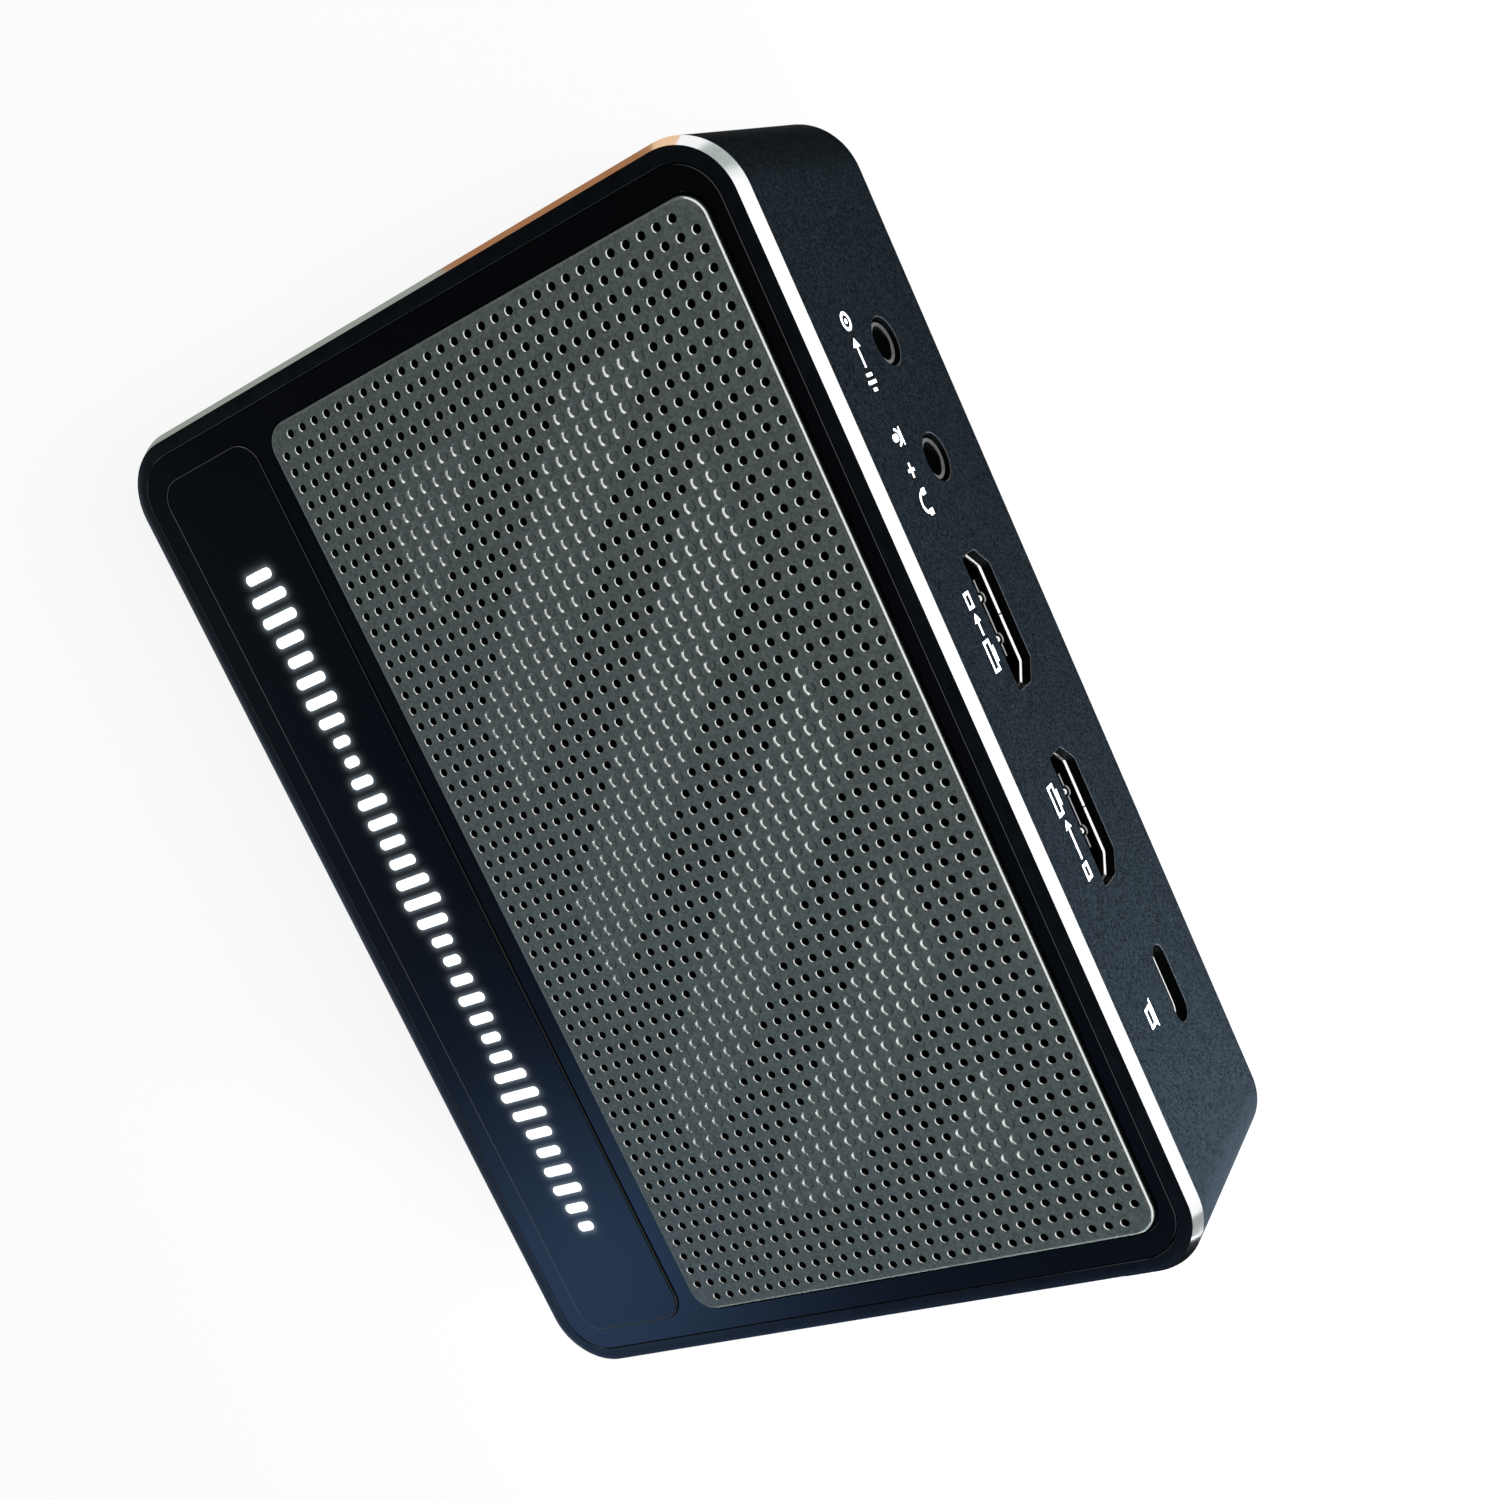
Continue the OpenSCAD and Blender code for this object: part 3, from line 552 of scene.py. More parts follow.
# Each corner of the section: how far it lies in, its height, and the finish that follows.
profile = [
    (foot_break, case_low.z, 0), (0, case_low.z + foot_break, 0), (0, case_high.z - chamfer_h, 1),
    (chamfer_w, case_high.z - rim_fall, 4), (chamfer_w + roll_mid, case_high.z - roll_mid_fall, 4),
    (chamfer_w + roll_w, case_high.z, 4), (rim_w - rim_break, case_high.z, 4),
    (rim_w, case_high.z - rim_break_h, 0), (rim_w, cover_low, 0), (ledge_in, cover_low, 0),
    (ledge_in, cover_low - ledge_t, 0), (wall, cover_low - ledge_t, 0), (wall, case_low.z, 0),
]
ring = Form()
loops = [ring.loop(rounded(case_l - 2 * inset, case_w - 2 * inset, corner_r - inset, height, steps=20))
         for inset, height, _ in profile]
for number, (_, _, finish) in enumerate(profile):
    ring.wall(loops[number], loops[(number + 1) % len(loops)], finish)
side_frame = mesh_object("side_frame_ring", ring, frame_finishes, frame_smooth)

port_gap = 0.22
port_fillet = 0.5
mouth_break = 0.07
cut_reach = 0.3
cuts = []
for node in ("line_in_jack", "headset_jack"):
    low, high = span(node)
    at = ((low.x + high.x) / 2, (low.z + high.z) / 2)
    cuts.append((at, lambda g: circle(0, 0, 0, jack_nose_r + g)))
for node in ("video_in_shell", "video_out_shell"):
    low, high = span(node)
    at = ((low.x + high.x) / 2, high.z - video_half_h)
    cuts.append((at, lambda g: filleted(video_corners(g), port_fillet)))
low, high = span("usb_shell")
cuts.append((((low.x + high.x) / 2, high.z - usb_h / 2), usb_outline))
for (x, z), outline in cuts:
    cutter = Form()
    run = [(rear_y + cut_reach, port_gap + mouth_break + cut_reach), (rear_y - mouth_break, port_gap),
           (rear_y - wall - cut_reach, port_gap)]
    loops = [cutter.loop(facing_y(outline(g), x, y, z)) for y, g in run]
    cutter.wall(loops[0], loops[1], 3)
    # The wall behind the break takes finish 2, painted dark as shade.
    cutter.wall(loops[1], loops[2], 2)
    cutter.plate(loops[0])
    cutter.plate(loops[2])
    tool = mesh_object("cutter", cutter, frame_finishes)
    cut = side_frame.modifiers.new("port", "BOOLEAN")
    cut.object = tool
    bpy.context.view_layer.objects.active = side_frame
    bpy.ops.object.modifier_apply(modifier=cut.name)
    bpy.data.objects.remove(tool)
side_frame.data.set_sharp_from_angle(angle=math.radians(frame_smooth))
fit_piece(side_frame, "anodised_aluminium", "side_frame")

# Screw posts
# Four round posts inside the frame's corners, each held by two webs, extruded with the frame and
# bored for the case screws.

post_r = 3.2
post_in = 9.0
web_t = 2.0
post_bore_r = 1.45
floor_t, boss_drop = 2.0, 6.0
post_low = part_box("bottom_cover")[0].z / MM + floor_t
post_high = cover_low - boss_drop
web_l = post_in - post_r - wall
web_mid = post_r + web_l / 2
posts = Form()
for side_x in (-1, 1):
    for side_y in (-1, 1):
        x, y = side_x * (case_l / 2 - post_in), side_y * (case_w / 2 - post_in)
        tube = posts.loft([circle(x, y, post_low, post_r), circle(x, y, post_high, post_r)])
        bore = posts.loft([circle(x, y, post_low, post_bore_r), circle(x, y, post_high, post_bore_r)])
        for end in (0, 1):
            posts.plate(tube[end], [bore[end]])
        for web in ((x + side_x * web_mid, y, web_l, web_t), (x, y + side_y * web_mid, web_t, web_l)):
            block(posts, box_outline(*web, post_low), box_outline(*web, post_high))
fit_piece(mesh_object("frame_posts", posts, [blasted]), "anodised_aluminium")

# Marks over the sockets
# Small plain signs, screen printed in white ink on the rear wall: sound into a socket, headphones and
# a microphone, screens with an arrow to and from a box, and a folding computer.

# Screen ink: flat white, a little thin in places.
white_ink = new_finish("screen_printed_white_ink", 0.3, "#dfe3e3", "#f2f4f4", (0.5, 0.6), ior=1.5)

ink_t = 0.01
mark_z = 20.4
stroke = 0.38
print_marks = Form()


def sign(at_x, outline, *holes):
    """Prints one flat shape: points are (right, up) in mm as seen from the rear."""
    both = []
    for y in (rear_y, rear_y + ink_t):
        loops = [print_marks.loop([(at_x - u, y, mark_z + v) for u, v in pts]) for pts in (outline, *holes)]
        print_marks.plate(loops[0], loops[1:])
        both.append(loops)
    for one, other in zip(*both):
        print_marks.wall(one, other)


def arrow(start, length):
    """An arrow that points right."""
    tip, head, shaft, barb = start + length, 1.0, stroke / 2, 0.85
    return [(start, -shaft), (tip - head, -shaft), (tip - head, -barb), (tip, 0), (tip - head, barb),
            (tip - head, shaft), (start, shaft)]


def rect(left, right, low, high):
    """The corners of a rectangle."""
    return [(left, low), (right, low), (right, high), (left, high)]


def arc(u, v, radius, start, end, steps=24):
    """Points along an arc, by angles in degrees."""
    turns = [math.radians(start + (end - start) * i / steps) for i in range(steps + 1)]
    return [(u + radius * math.cos(a), v + radius * math.sin(a)) for a in turns]


def outlined(at_x, left, right, low, high):
    """Prints a rectangle's outline."""
    sign(at_x, rect(left, right, low, high),
         rect(left + stroke, right - stroke, low + stroke, high - stroke))


def screen(at_x, left):
    """Prints a screen on a stand."""
    width, stand_in = 3.6, 0.9
    outlined(at_x, left, left + width, -0.55, 1.05)
    sign(at_x, rect(left + stand_in, left + width - stand_in, -1.05, -0.75))


def device_box(at_x, left):
    """Prints the small box that stands for this device."""
    width, half_h = 1.9, 0.75
    outlined(at_x, left, left + width, -half_h, half_h)


port_x = {node: (span(node)[0].x + span(node)[1].x) / 2
          for node in ("line_in_jack", "headset_jack", "video_in_shell", "video_out_shell", "usb_shell")}

# Three sound bars, an arrow and a round socket.
x = port_x["line_in_jack"]
for bar_u, half in ((-4.2, 0.45), (-3.4, 1.0), (-2.6, 0.7)):
    sign(x, rect(bar_u - stroke / 2, bar_u + stroke / 2, -half, half))
sign(x, arrow(-1.8, 3.2))
plug_u, plug_r, pin_r = 3.2, 1.05, 0.3
sign(x, arc(plug_u, 0, plug_r, 0, 345, 23), arc(plug_u, 0, plug_r - stroke, 0, 345, 23))
sign(x, arc(plug_u, 0, pin_r, 0, 330, 11))

# Headphones, a plus sign and a microphone on its stand.
x = port_x["headset_jack"]
phones_u, phones_v, phones_r = -3.6, -0.25, 1.3
sign(x, arc(phones_u, phones_v, phones_r, 0, 180) + arc(phones_u, phones_v, phones_r - stroke, 180, 0))
ear_out, ear_half = 1.12, 0.36
for side in (-1, 1):
    ear_u = phones_u + side * ear_out
    sign(x, rect(ear_u - ear_half, ear_u + ear_half, -1.05, -0.1))
half, tip = stroke / 2, 0.8
sign(x, [(-tip, -half), (-half, -half), (-half, -tip), (half, -tip), (half, -half), (tip, -half),
         (tip, half), (half, half), (half, tip), (-half, tip), (-half, half), (-tip, half)])
mic_u, mic_low, mic_high, mic_r = 3.6, 0.05, 0.6, 0.42
cradle_r, base_half, base_low, thin = 1.0, 1.0, -1.3, stroke / 1.4
sign(x, arc(mic_u, mic_high, mic_r, 0, 180, 12) + arc(mic_u, mic_low, mic_r, 180, 360, 12))
sign(x, arc(mic_u, mic_low, cradle_r, 180, 360) + arc(mic_u, mic_low, cradle_r - thin, 360, 180))
sign(x, rect(mic_u - base_half, mic_u + base_half, base_low, base_low + thin))

# From a screen into the box, and from the box to a screen.
x = port_x["video_in_shell"]
screen(x, -4.5)
sign(x, arrow(-0.4, 2.5))
device_box(x, 2.6)
x = port_x["video_out_shell"]
device_box(x, -5.6)
sign(x, arrow(-3.2, 4.6))
screen(x, 2.0)

# A folding computer: its lid and its base.
x = port_x["usb_shell"]
outlined(x, -1.2, 1.2, -0.5, 1.05)
sign(x, [(-1.75, -1.05), (1.75, -1.05), (1.35, -0.68), (-1.35, -0.68)])
fit_piece(mesh_object("port_marks", print_marks, [white_ink]), "anodised_aluminium")

# Lit strip
# A black board with six white lights under a milky acrylic bar, screwed to two bosses and joined to
# the main board by a pin header. All of it lies under the window.

# Milky acrylic, cut from sheet: white, soft and even.
milky_acrylic = new_finish("milky_cast_acrylic", 0.8, "#e6eaeb", "#f3f6f6", (0.35, 0.45), 0.002,
                           ior=1.49, subsurface_weight=0.2)
coat(milky_acrylic, "light_guide")

# Light bodies: white moulding under a clear yellowish lens.
light_body = new_finish("moulded_light_body", 0.4, "#e9e2c2", "#f4efd8", (0.3, 0.4), 0.004, ior=1.5)
coat(light_body, "indicator_leds")

# Black solder mask: near black, half gloss.
black_mask = new_finish("black_solder_mask", 0.5, "#0b0b0c", "#131314", (0.35, 0.48), 0.008, ior=1.52)
coat(black_mask, "led_board")

# Zinc-plated steel: pale, faintly clouded.
zinc_steel = new_finish("zinc_plated_steel", 0.5, "#a9abae", "#c4c6c8", (0.25, 0.4), 0.003, metallic=1.0)
coat(zinc_steel, "led_screws")

# Top cover
# A panel of black ABS moulded with a piano gloss, let into the frame's rim with a hair's gap. It has
# one recess for the grille, with slots under it for the air, and one for the window.

# Piano-gloss ABS: black with a blue cast, mirror smooth but for a slow ripple some 20 mm long.
piano_abs = new_finish("piano_gloss_black_abs", 20.0, "#020304", "#040507", (0.05, 0.08), ior=1.53)

cover_low_corner, cover_high = span("top_cover")
cover_l = cover_high.x - cover_low_corner.x
cover_w = cover_high.y - cover_low_corner.y
cover_top = cover_high.z
cover_r = corner_r - (case_l - cover_l) / 2
cover_break, cover_break_h = 0.06, 0.06
boss_r, boss_bore_r, boss_skin = 3.0, 1.3, 0.5
grille_low, grille_high = span("grille")
grille_mid = (0.0, (grille_low.y + grille_high.y) / 2)
grille_l, grille_w = grille_high.x - grille_low.x, grille_high.y - grille_low.y
grille_r = 3.0
grille_gap = 0.35
window_low, window_high = span("indicator_window")
window_mid = (0.0, (window_low.y + window_high.y) / 2)
window_l, window_w = window_high.x - window_low.x, window_high.y - window_low.y
window_r = 3.0
window_gap = 0.1
recess_break = 0.05
guide_low, guide_high = span("light_guide")
guide_gap = 0.15
guide_l, guide_w = guide_high.x - guide_low.x + 2 * guide_gap, guide_high.y - guide_low.y + 2 * guide_gap
vent_l, vent_w, vent_rib = 12.0, 3.0, 3.0

cover = Form()
outside = cover.loft([
    rounded(cover_l, cover_w, cover_r, cover_low, steps=20),
    rounded(cover_l, cover_w, cover_r, cover_top - cover_break_h, steps=20),
    rounded(cover_l - 2 * cover_break, cover_w - 2 * cover_break, cover_r - cover_break, cover_top,
            steps=20),
])
recess_loops = []
for mid, length, width, radius, gap, depth_z in (
        (grille_mid, grille_l, grille_w, grille_r, grille_gap, grille_low.z),
        (window_mid, window_l, window_w, window_r, window_gap, window_low.z)):
    size = (length + 2 * gap, width + 2 * gap, radius + gap)
    mouth = (size[0] + 2 * recess_break, size[1] + 2 * recess_break, size[2] + recess_break)
    recess_loops.append(cover.loft([
        rounded(*mouth, cover_top, mid),
        rounded(*size, cover_top - recess_break, mid),
        rounded(*size, depth_z, mid),
    ]))
cover.plate(outside[2], [recess_loops[0][0], recess_loops[1][0]])
under_holes = []
vents = []
vent_cols = int((grille_l - vent_l) // (vent_l + vent_rib))
vent_rows = int((grille_w - vent_w) // (vent_w + vent_rib))
for i in range(vent_cols):
    for j in range(vent_rows):
        mid_x = (i - (vent_cols - 1) / 2) * (vent_l + vent_rib)
        mid_y = grille_mid[1] + (j - (vent_rows - 1) / 2) * (vent_w + vent_rib)
        slot = [box_outline(mid_x, mid_y, vent_l, vent_w, h) for h in (grille_low.z, cover_low)]
        slot_loops = cover.loft(slot)
        vents.append(slot_loops[0])
        under_holes.append(slot_loops[1])
cover.plate(recess_loops[0][2], vents)
guide_slot = cover.loft([box_outline(*window_mid, guide_l, guide_w, h) for h in (window_low.z, cover_low)])
cover.plate(recess_loops[1][2], [guide_slot[0]])
for side_x in (-1, 1):
    for side_y in (-1, 1):
        x, y = side_x * (case_l / 2 - post_in), side_y * (case_w / 2 - post_in)
        boss = cover.loft([circle(x, y, cover_low, boss_r), circle(x, y, post_high, boss_r)])
        hole = cover.loft([circle(x, y, h, boss_bore_r) for h in (post_high, cover_low - boss_skin)])
        cover.plate(boss[1], [hole[0]])
        cover.plate(hole[1])
        under_holes.append(boss[0])
cover.plate(outside[0], under_holes + [guide_slot[1]])
fit_piece(mesh_object("top_cover_panel", cover, [piano_abs], smooth=12), "gloss_black", "top_cover")

# Grille
# A plate of aluminium, punched with a fine square grid of round holes, blasted and dyed gunmetal.
# Slanted bands of the grid are left as shallow dimples. It lies in the cover's recess, a little proud.

# Blasted gunmetal aluminium: a grey satin, grained at 0.35 mm so that it shows.
gunmetal = new_finish("blasted_gunmetal_aluminium", 0.35, "#4a524d", "#666e69", (0.34, 0.42), 0.016,
                      metallic=0.35)

# Edges of the same plate, smoother, with a highlight painted on them in bright metal.
edge_painted_highlight = new_finish("aluminium_edge_painted_highlight", 0.3, "#c6ccc9", "#d4dad7", (0.2, 0.26), metallic=1.0)

# Punched bores, painted black as the shade inside the holes.
bore_painted_shade = new_finish("punched_bore_painted_shade", 0.35, "#040404", "#070808", (0.5, 0.6),
                      specular_ior_level=0.1)

hole_pitch = 2.0
hole_cols, hole_rows = 58, 31
hole_r = 0.46
hole_lip = [(0.56, 0.0), (0.55, 0.006), (0.475, 0.08), (hole_r, 0.1)]
dimple_depth = 0.205
dimple = [(0.77, 0.0), (0.755, 0.008), (0.56, 0.2), (0.545, dimple_depth)]
tile_side = 6
edge_r = 0.45
highlight_facing = 0.3
band_edge, band_pitch, band_w = 5, 12, 6
grille_top = grille_high.z
in_dye, in_bore, on_edge = 0, 1, 2


def is_corner(i, j):
    """The grid's four corners have no hole, because the plate is round there."""
    return i in (0, hole_rows - 1) and j in (0, hole_cols - 1)


def is_dimple(i, j):
    """Slanted bands of the grid, clear of its border."""
    inside = band_edge <= i < hole_rows - band_edge and band_edge <= j < hole_cols - band_edge
    return inside and (i + j) % band_pitch < band_w


grille = Form()
grid_numbers = {}


def grid_point(u, v, z):
    """The number of a point on the tiles' shared edges, in steps along a tile's side."""
    key = (u, v, z)
    if key not in grid_numbers:
        x = (u / tile_side - hole_cols / 2) * hole_pitch
        y = grille_mid[1] + (v / tile_side - hole_rows / 2) * hole_pitch
        grid_numbers[key] = grille.loop([(x, y, z)])[0]
    return grid_numbers[key]


def tile_edge(i, j, z):
    """The square round one grid position, anticlockwise from its +X corner at -Y."""
    u, v, n = j * tile_side, i * tile_side, tile_side
    steps = [(u + n, v + k) for k in range(n)] + [(u + n - k, v + n) for k in range(n)]
    steps += [(u, v + n - k) for k in range(n)] + [(u + k, v) for k in range(n)]
    return [grid_point(*step, z) for step in steps]


def ring_of(i, j, radius, z):
    """A circle about one grid position, in step with the square round it."""
    x = (j - (hole_cols - 1) / 2) * hole_pitch
    y = grille_mid[1] + (i - (hole_rows - 1) / 2) * hole_pitch
    count = 4 * tile_side
    turns = [math.radians(-45) + 2 * math.pi * k / count for k in range(count)]
    return [(x + radius * math.cos(a), y + radius * math.sin(a), z) for a in turns]


for i in range(hole_rows):
    for j in range(hole_cols):
        if is_corner(i, j):
            continue
        above, below = tile_edge(i, j, grille_top), tile_edge(i, j, grille_low.z)
        if is_dimple(i, j):
            rings = grille.loft([ring_of(i, j, r, grille_top - d) for r, d in dimple], on_edge)
            bottom = grille.loop([(*ring_of(i, j, 0, 0)[0][:2], grille_top - dimple_depth)])[0]
            for k, corner in enumerate(rings[-1]):
                grille.face([corner, rings[-1][(k + 1) % len(rings[-1])], bottom])
            grille.face(below)
        else:
            rings = grille.loft([ring_of(i, j, r, grille_top - d) for r, d in hole_lip], on_edge)
            exit_ring = grille.loop(ring_of(i, j, hole_r, grille_low.z))
            # The bore's wall is painted black as shade.
            grille.wall(rings[-1], exit_ring, in_bore)
            grille.wall(below, exit_ring)
        grille.wall(above, rings[0])


def block_edge(z):
    """The outline of all the tiles, with the four corner positions left out."""
    across, along, n = hole_cols * tile_side, hole_rows * tile_side, tile_side
    corners = [(across, n), (across, along - n), (across - n, along - n), (across - n, along), (n, along),
               (n, along - n), (0, along - n), (0, n), (n, n), (n, 0), (across - n, 0), (across - n, n)]
    path = []
    for (u, v), (next_u, next_v) in zip(corners, corners[1:] + corners[:1]):
        count = max(abs(next_u - u), abs(next_v - v))
        step_u, step_v = (next_u - u) // count, (next_v - v) // count
        path += [(u + k * step_u, v + k * step_v) for k in range(count)]
    return [grid_point(u, v, z) for u, v in path]


rims = []
for inset, drop in reversed(edge_round(edge_r, 6)):
    rims.append(rounded(grille_l - 2 * inset, grille_w - 2 * inset, grille_r - inset,
                        grille_top - drop, grille_mid))
rims.append(rounded(grille_l, grille_w, grille_r, grille_low.z, grille_mid))
loops = grille.loft(rims, on_edge)
grille.plate(loops[0], [block_edge(grille_top)])
grille.plate(loops[-1], [block_edge(grille_low.z)])
plate_object = mesh_object("grille_plate", grille, [gunmetal, bore_painted_shade, edge_painted_highlight], smooth=18)
# Painted highlight: only the edge facets that face +Y, toward the lamp behind the rear wall, stay bright;
# the rest take the plate's gunmetal.
for facet in plate_object.data.polygons:
    if facet.material_index == on_edge and facet.normal.y < highlight_facing:
        facet.material_index = in_dye
fit_piece(plate_object, "gunmetal_grille", "grille")

# Indicator window
# A strip of smoked acrylic, polished, with a row of clear bars left in the black on its back. The
# light behind shows through them as a white level trace with a soft halo.

bar_count = 34
bar_pitch = 2.7
bar_r = 0.65
bar_tall, bar_swing = 4.3, 2.0
wave_step, envelope_step = 0.9, 0.37
bar_level = 0.9
halo_fade, halo_level = 0.3, 0.2


def bar_height(i):
    """The height of one bar of the level trace."""
    return bar_tall + bar_swing * math.sin(wave_step * i) * math.cos(envelope_step * i)


# Smoked acrylic, polished: black with a blue cast and a clean reflection; round the bars the light
# bleeds through in a halo of about half a millimetre.
smoked = new_finish("polished_smoked_acrylic", 25.0, "#020305", "#040609", (0.04, 0.06), ior=1.49,
                    emission_color=linear("#d5e4ee"))
tree = smoked.node_tree
place = add(tree, "ShaderNodeTexCoord").outputs["Object"]
apart = add(tree, "ShaderNodeSeparateXYZ", {0: place})
first_x = -(bar_count - 1) / 2 * bar_pitch
# The distance to the nearest bars, one step of arithmetic after another: what each result is called,
# how it is made, and from which two results or plain numbers.
signal = {"x": apart.outputs[0], "y": apart.outputs[1], "glow0": 0.0}
steps = [("x_mm", "DIVIDE", "x", MM), ("along", "SUBTRACT", "x_mm", first_x),
         ("y_mm", "DIVIDE", "y", MM), ("off_mid", "SUBTRACT", "y_mm", window_mid[1]),
         ("across", "ABSOLUTE", "off_mid", 0.0), ("ratio", "DIVIDE", "along", bar_pitch),
         ("nearest", "ROUND", "ratio", 0.0)]
for turn, neighbour in enumerate((-1, 0, 1)):
    steps += [("number", "ADD", "nearest", neighbour), ("number", "MAXIMUM", "number", 0.0),
              ("number", "MINIMUM", "number", bar_count - 1.0),
              ("bar_x", "MULTIPLY", "number", bar_pitch), ("aside", "SUBTRACT", "along", "bar_x"),
              ("phase", "MULTIPLY", "number", wave_step), ("wave", "SINE", "phase", 0.0),
              ("phase", "MULTIPLY", "number", envelope_step), ("envelope", "COSINE", "phase", 0.0),
              ("swing", "MULTIPLY", "wave", "envelope"), ("half", "MULTIPLY", "swing", bar_swing / 2),
              ("half", "ADD", "half", bar_tall / 2 - bar_r), ("beyond", "SUBTRACT", "across", "half"),
              ("beyond", "MAXIMUM", "beyond", 0.0), ("aside", "POWER", "aside", 2.0),
              ("beyond", "POWER", "beyond", 2.0), ("gap", "ADD", "aside", "beyond"),
              ("gap", "SQRT", "gap", 0.0), ("gap", "SUBTRACT", "gap", bar_r),
              ("gap", "DIVIDE", "gap", -halo_fade), ("fade", "EXPONENT", "gap", 0.0),
              (f"glow{turn + 1}", "MAXIMUM", f"glow{turn}", "fade")]
steps.append(("halo", "MULTIPLY", "glow3", halo_level))
for result, operation, one, other in steps:
    signal[result] = add(tree, "ShaderNodeMath", {0: signal.get(one, one), 1: signal.get(other, other)},
                         operation=operation).outputs[0]
tree.links.new(signal["halo"], tree.nodes["Principled BSDF"].inputs["Emission Strength"])

# Clear acrylic over the diffuser: even white light.
lit_acrylic = new_finish("lit_clear_acrylic", 1.2, "#d8dede", "#eef2f2", (0.08, 0.12), ior=1.49,
                         emission_color=linear("#f4f9fa"), emission_strength=bar_level)

window_edge = 0.2
window = Form()
rims = [rounded(window_l, window_w, window_r, window_low.z, window_mid)]
for inset, drop in edge_round(window_edge):
    rims.append(rounded(window_l - 2 * inset, window_w - 2 * inset, window_r - inset,
                        window_high.z - drop, window_mid))
loops = window.loft(rims)
window.plate(loops[0])
bars = []
for i in range(bar_count):
    middle = (first_x + i * bar_pitch, window_mid[1])
    outline = window.loop(rounded(2 * bar_r, bar_height(i), bar_r - sliver, window_high.z, middle, 8))
    window.plate(outline, finish=1)
    bars.append(outline)
window.plate(loops[-1], bars)
window_strip = mesh_object("window_strip", window, [smoked, lit_acrylic])
fit_piece(window_strip, "smoked_acrylic", "indicator_window")

# Studio
# White paper lies under the box and stands in a ring round it, and cards out of the picture tint its
# edges. A broad lamp behind the rear wall and a small one at its +X end light it, in a dim room.

# Seamless paper: white to the eye and in reflections, and still shaded by what stands on it.
white_share = 0.9
paper = bpy.data.materials.new("seamless_paper")
paper.use_nodes = True
tree = paper.node_tree
tree.nodes.clear()
seen = add(tree, "ShaderNodeLightPath")
mirrored = add(tree, "ShaderNodeMath", {0: seen.outputs["Is Glossy Ray"],
                                        1: seen.outputs["Is Transmission Ray"]}, operation="MAXIMUM")
direct = add(tree, "ShaderNodeMath", {0: seen.outputs["Is Camera Ray"], 1: mirrored.outputs[0]},
             operation="MAXIMUM")
share = add(tree, "ShaderNodeMath", {0: direct.outputs[0], 1: white_share}, operation="MULTIPLY")
shaded = add(tree, "ShaderNodeBsdfDiffuse", {"Color": linear("#f4f4f4")})
plain = add(tree, "ShaderNodeEmission", {"Color": (1, 1, 1, 1), "Strength": 1.0})
mixed = add(tree, "ShaderNodeMixShader", {0: share.outputs[0], 1: shaded.outputs[0], 2: plain.outputs[0]})
add(tree, "ShaderNodeOutputMaterial", {0: mixed.outputs[0]})


def stage_sheet(name, points, faces, material, hidden_from=()):
    """Sets up a sheet in the studio that is not part of the box, hidden from some kinds of ray."""
    mesh = bpy.data.meshes.new(name)
    mesh.from_pydata(points, [], faces)
    mesh.materials.append(material)
    made = bpy.data.objects.new(name, mesh)
    bpy.context.scene.collection.objects.link(made)
    for ray in hidden_from:
        setattr(made, "visible_" + ray, False)


def curved_sheet(radius, low, high, start, end, steps):
    """An upright sheet that follows an arc round the box, by angles in degrees: points and faces."""
    turns = [math.radians(start + (end - start) * i / steps) for i in range(steps + 1)]
    points = [(radius * math.cos(a), radius * math.sin(a), h) for a in turns for h in (low, high)]
    return points, [(2 * i, 2 * i + 2, 2 * i + 3, 2 * i + 1) for i in range(steps)]


def card_finish(name, colour, level):
    """A card's even glow, which only reflections show."""
    board = bpy.data.materials.new(name)
    board.use_nodes = True
    board.node_tree.nodes.clear()
    tint = add(board.node_tree, "ShaderNodeEmission", {"Color": linear(colour), "Strength": level})
    add(board.node_tree, "ShaderNodeOutputMaterial", {0: tint.outputs[0]})
    return board


# The floor, and a ring that makes a low view pale above it too. The ring throws no light on the box.
floor_half = 3.0
floor_points = [(u * floor_half, v * floor_half, 0) for u, v in ((-1, -1), (1, -1), (1, 1), (-1, 1))]
stage_sheet("studio_floor", floor_points, [(0, 1, 2, 3)], paper)
backdrop_r, backdrop_high = 2.9, 1.1
stage_sheet("paper_backdrop", *curved_sheet(backdrop_r, 0.0, backdrop_high, 0, 360, 48), paper,
            ("diffuse", "shadow"))

# Tinted cards just above the floor: the cut edge mirrors them, and so it is drawn against the paper.
# Each has its ends along X, its ends along Y and its colour.
card_z = 0.5
mirrored_only = ("camera", "diffuse", "transmission", "volume_scatter", "shadow")
for name, (left, right), (front, rear), colour in (
        ("copper_card", (-125, -66), (-22, 15), "#a5734f"),
        ("grey_card", (-125, -66), (-110, -22), "#969c93"),
        ("peach_card", (-140, -66), (15, 33), "#f0c8a0"),
        ("mint_card", (-420, -185), (85, 470), "#a3aeaa"),
        ("pewter_card", (150, 300), (75, 230), "#9a9d9b"),
        ("black_card", (72, 150), (18, 75), "#15171a")):
    corners = [(u * MM, v * MM, card_z * MM) for u, v in rect(left, right, front, rear)]
    stage_sheet(name, corners, [(0, 1, 2, 3)], card_finish(name, colour, 1.0), mirrored_only)

# A tall scrim curved round the back: it whitens the cut edge and draws a crescent in each dimple.
scrim_r, scrim_low, scrim_high, scrim_level = 1.0, 0.02, 0.95, 1.3
stage_sheet("rear_scrim", *curved_sheet(scrim_r, scrim_low, scrim_high, 15, 210, 13),
            card_finish("rear_scrim", "#ffffff", scrim_level), mirrored_only)

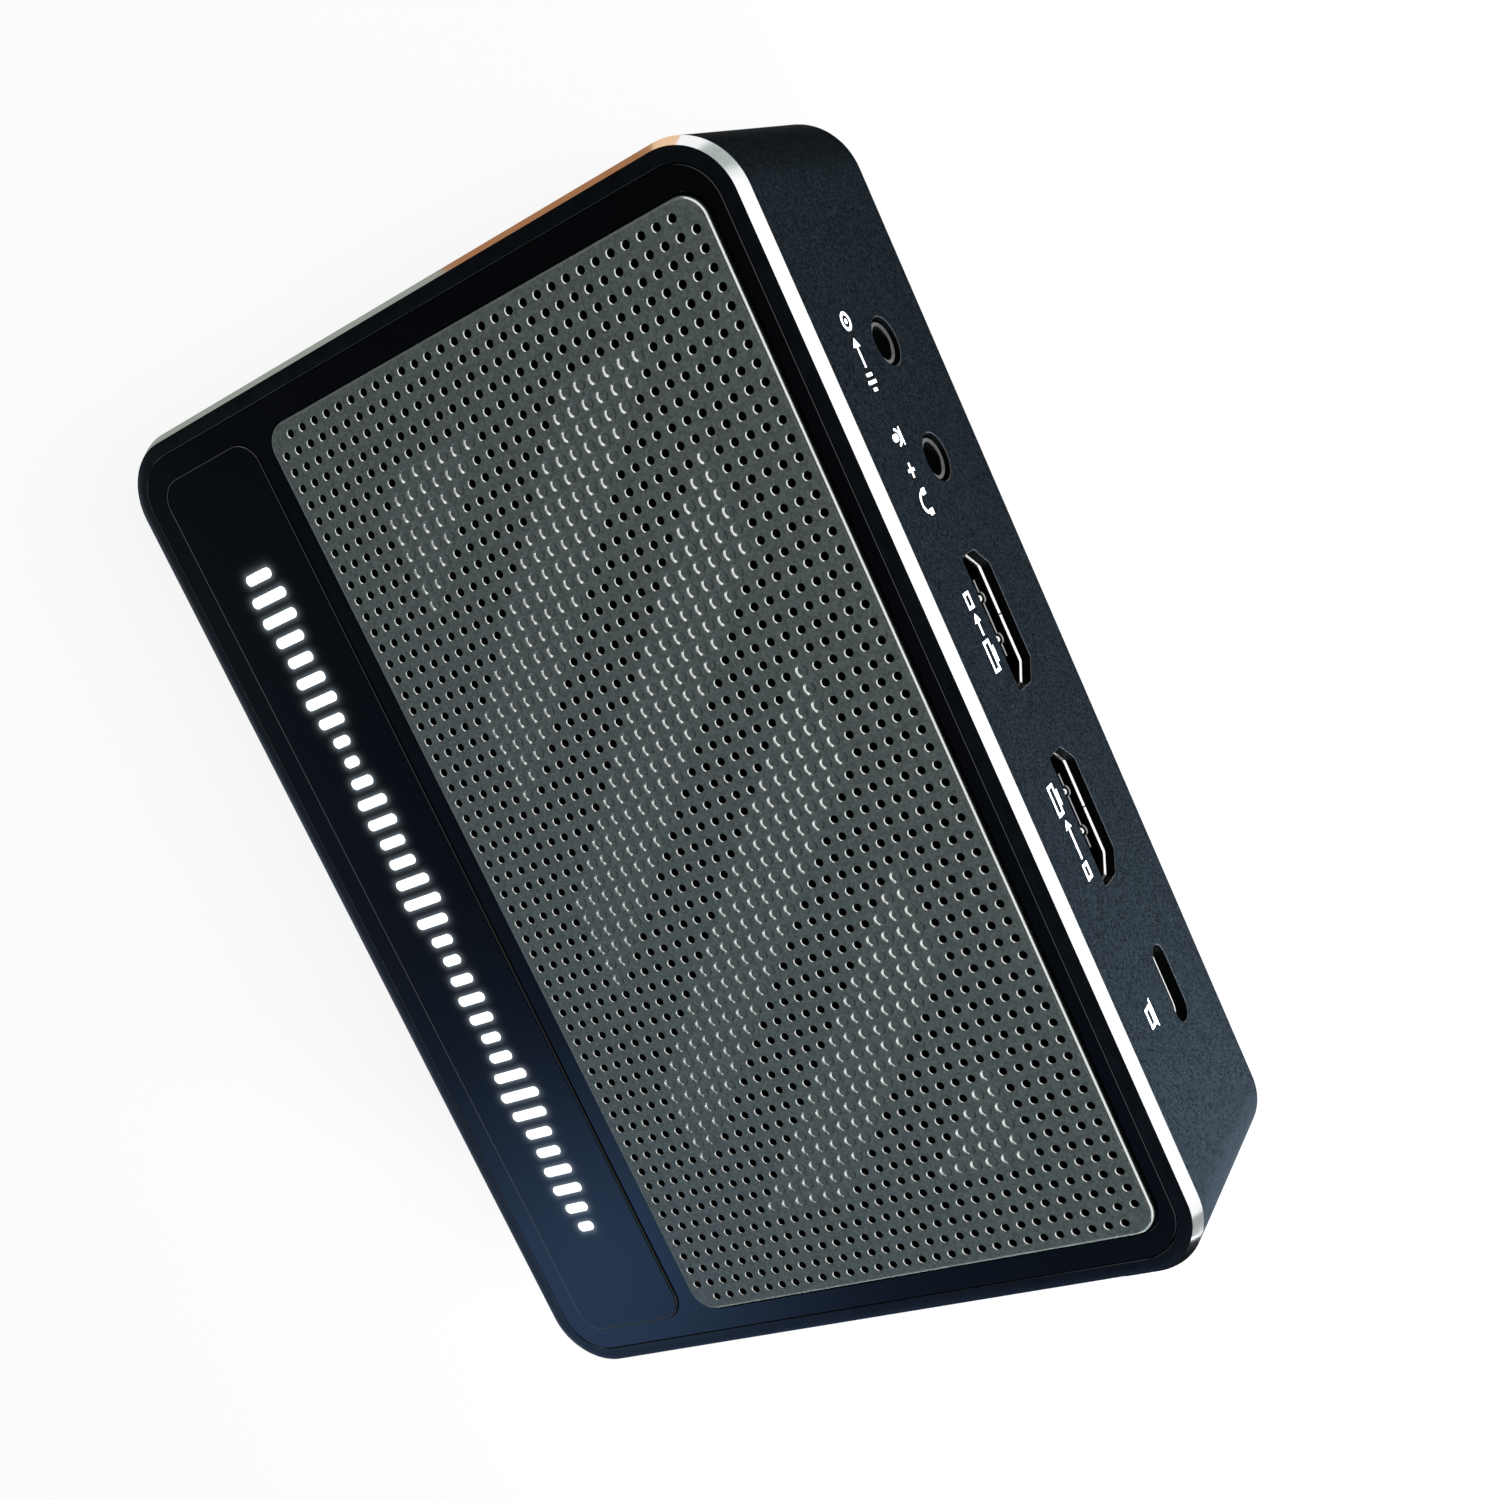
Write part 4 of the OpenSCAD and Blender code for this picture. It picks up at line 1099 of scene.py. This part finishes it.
# The room's soft glows: where each lies, how narrow it is, its colour and its strength.
room = bpy.data.worlds.new("studio_room")
bpy.context.scene.world = room
room.use_nodes = True
tree = room.node_tree
tree.nodes.clear()
outward = add(tree, "ShaderNodeTexCoord").outputs["Generated"]
total = None
for aim, sharpness, colour, strength in (
        ((0.2, 0.94, 0.28), 6.0, "#ffffff", 1.0),
        ((0.1, 0.99, 0.06), 20.0, "#ffffff", 1.6),
        ((0.332, -0.657, 0.677), 240.0, "#8dbbff", 1.05),
        ((0.664, -0.748, 0.0), 5.0, "#8dbbff", 1.38),
        ((0.0, -0.97, 0.22), 20.0, "#c8d8e8", 1.4),
        ((0.0, 0.0, 1.0), 0.0, "#c4ccd8", 0.035)):
    toward = add(tree, "ShaderNodeVectorMath", {0: outward, 1: Vector(aim).normalized()},
                 operation="DOT_PRODUCT").outputs["Value"]
    facing = add(tree, "ShaderNodeMath", {0: toward, 1: 0.0}, operation="MAXIMUM")
    narrowed = add(tree, "ShaderNodeMath", {0: facing.outputs[0], 1: sharpness}, operation="POWER")
    level = add(tree, "ShaderNodeMath", {0: narrowed.outputs[0], 1: strength}, operation="MULTIPLY")
    shade = add(tree, "ShaderNodeBackground", {"Color": linear(colour), "Strength": level.outputs[0]})
    total = shade if total is None else add(tree, "ShaderNodeAddShader",
                                            {0: total.outputs[0], 1: shade.outputs[0]})
add(tree, "ShaderNodeOutputWorld", {0: total.outputs[0]})

# The lamps: where each stands and what it points at in metres, its size, its watts and its colour.
for name, place, aim, size, power, colour in (
        ("rear_softbox", (0.13, 0.88, 0.64), (0, 0, 0.02), (0.4, 0.4), 15.0, "#ffffff"),
        ("end_strip", (0.15, 0.10, 0.016), (0.055, 0.042, 0.015), (0.06, 0.02), 2.5, "#f4f4ff")):
    lamp = bpy.data.lights.new(name, "AREA")
    lamp.shape = "RECTANGLE"
    lamp.size, lamp.size_y = size
    lamp.energy = power
    lamp.color = linear(colour)[:3]
    lamp_object = bpy.data.objects.new(name, lamp)
    lamp_object.visible_camera = False
    lamp_object.visible_glossy = False
    lamp_object.location = place
    lamp_object.rotation_euler = (Vector(aim) - Vector(place)).to_track_quat("-Z", "Y").to_euler()
    bpy.context.scene.collection.objects.link(lamp_object)

# Camera
# It stands behind and above the rear wall, and is rolled so that the box lies across the picture.
camera_at = (-30.5, 126.8, 192.8)
camera_turn = (-21.245, 23.881, 63.315)
focal_px, centre_px, picture_px = 1838.0, (851.9, 754.2), 1500.0
camera_data = bpy.data.cameras.new("camera")
camera_data.sensor_width = 36.0
camera_data.lens = focal_px / picture_px * camera_data.sensor_width
camera_data.shift_x = (picture_px / 2 - centre_px[0]) / picture_px
camera_data.shift_y = (centre_px[1] - picture_px / 2) / picture_px
camera_data.clip_start = 0.01
camera = bpy.data.objects.new("camera", camera_data)
camera.location = [v * MM for v in camera_at]
camera.rotation_euler = [math.radians(v) for v in camera_turn]
bpy.context.scene.collection.objects.link(camera)
bpy.context.scene.camera = camera
bpy.context.scene.view_settings.view_transform = "Standard"
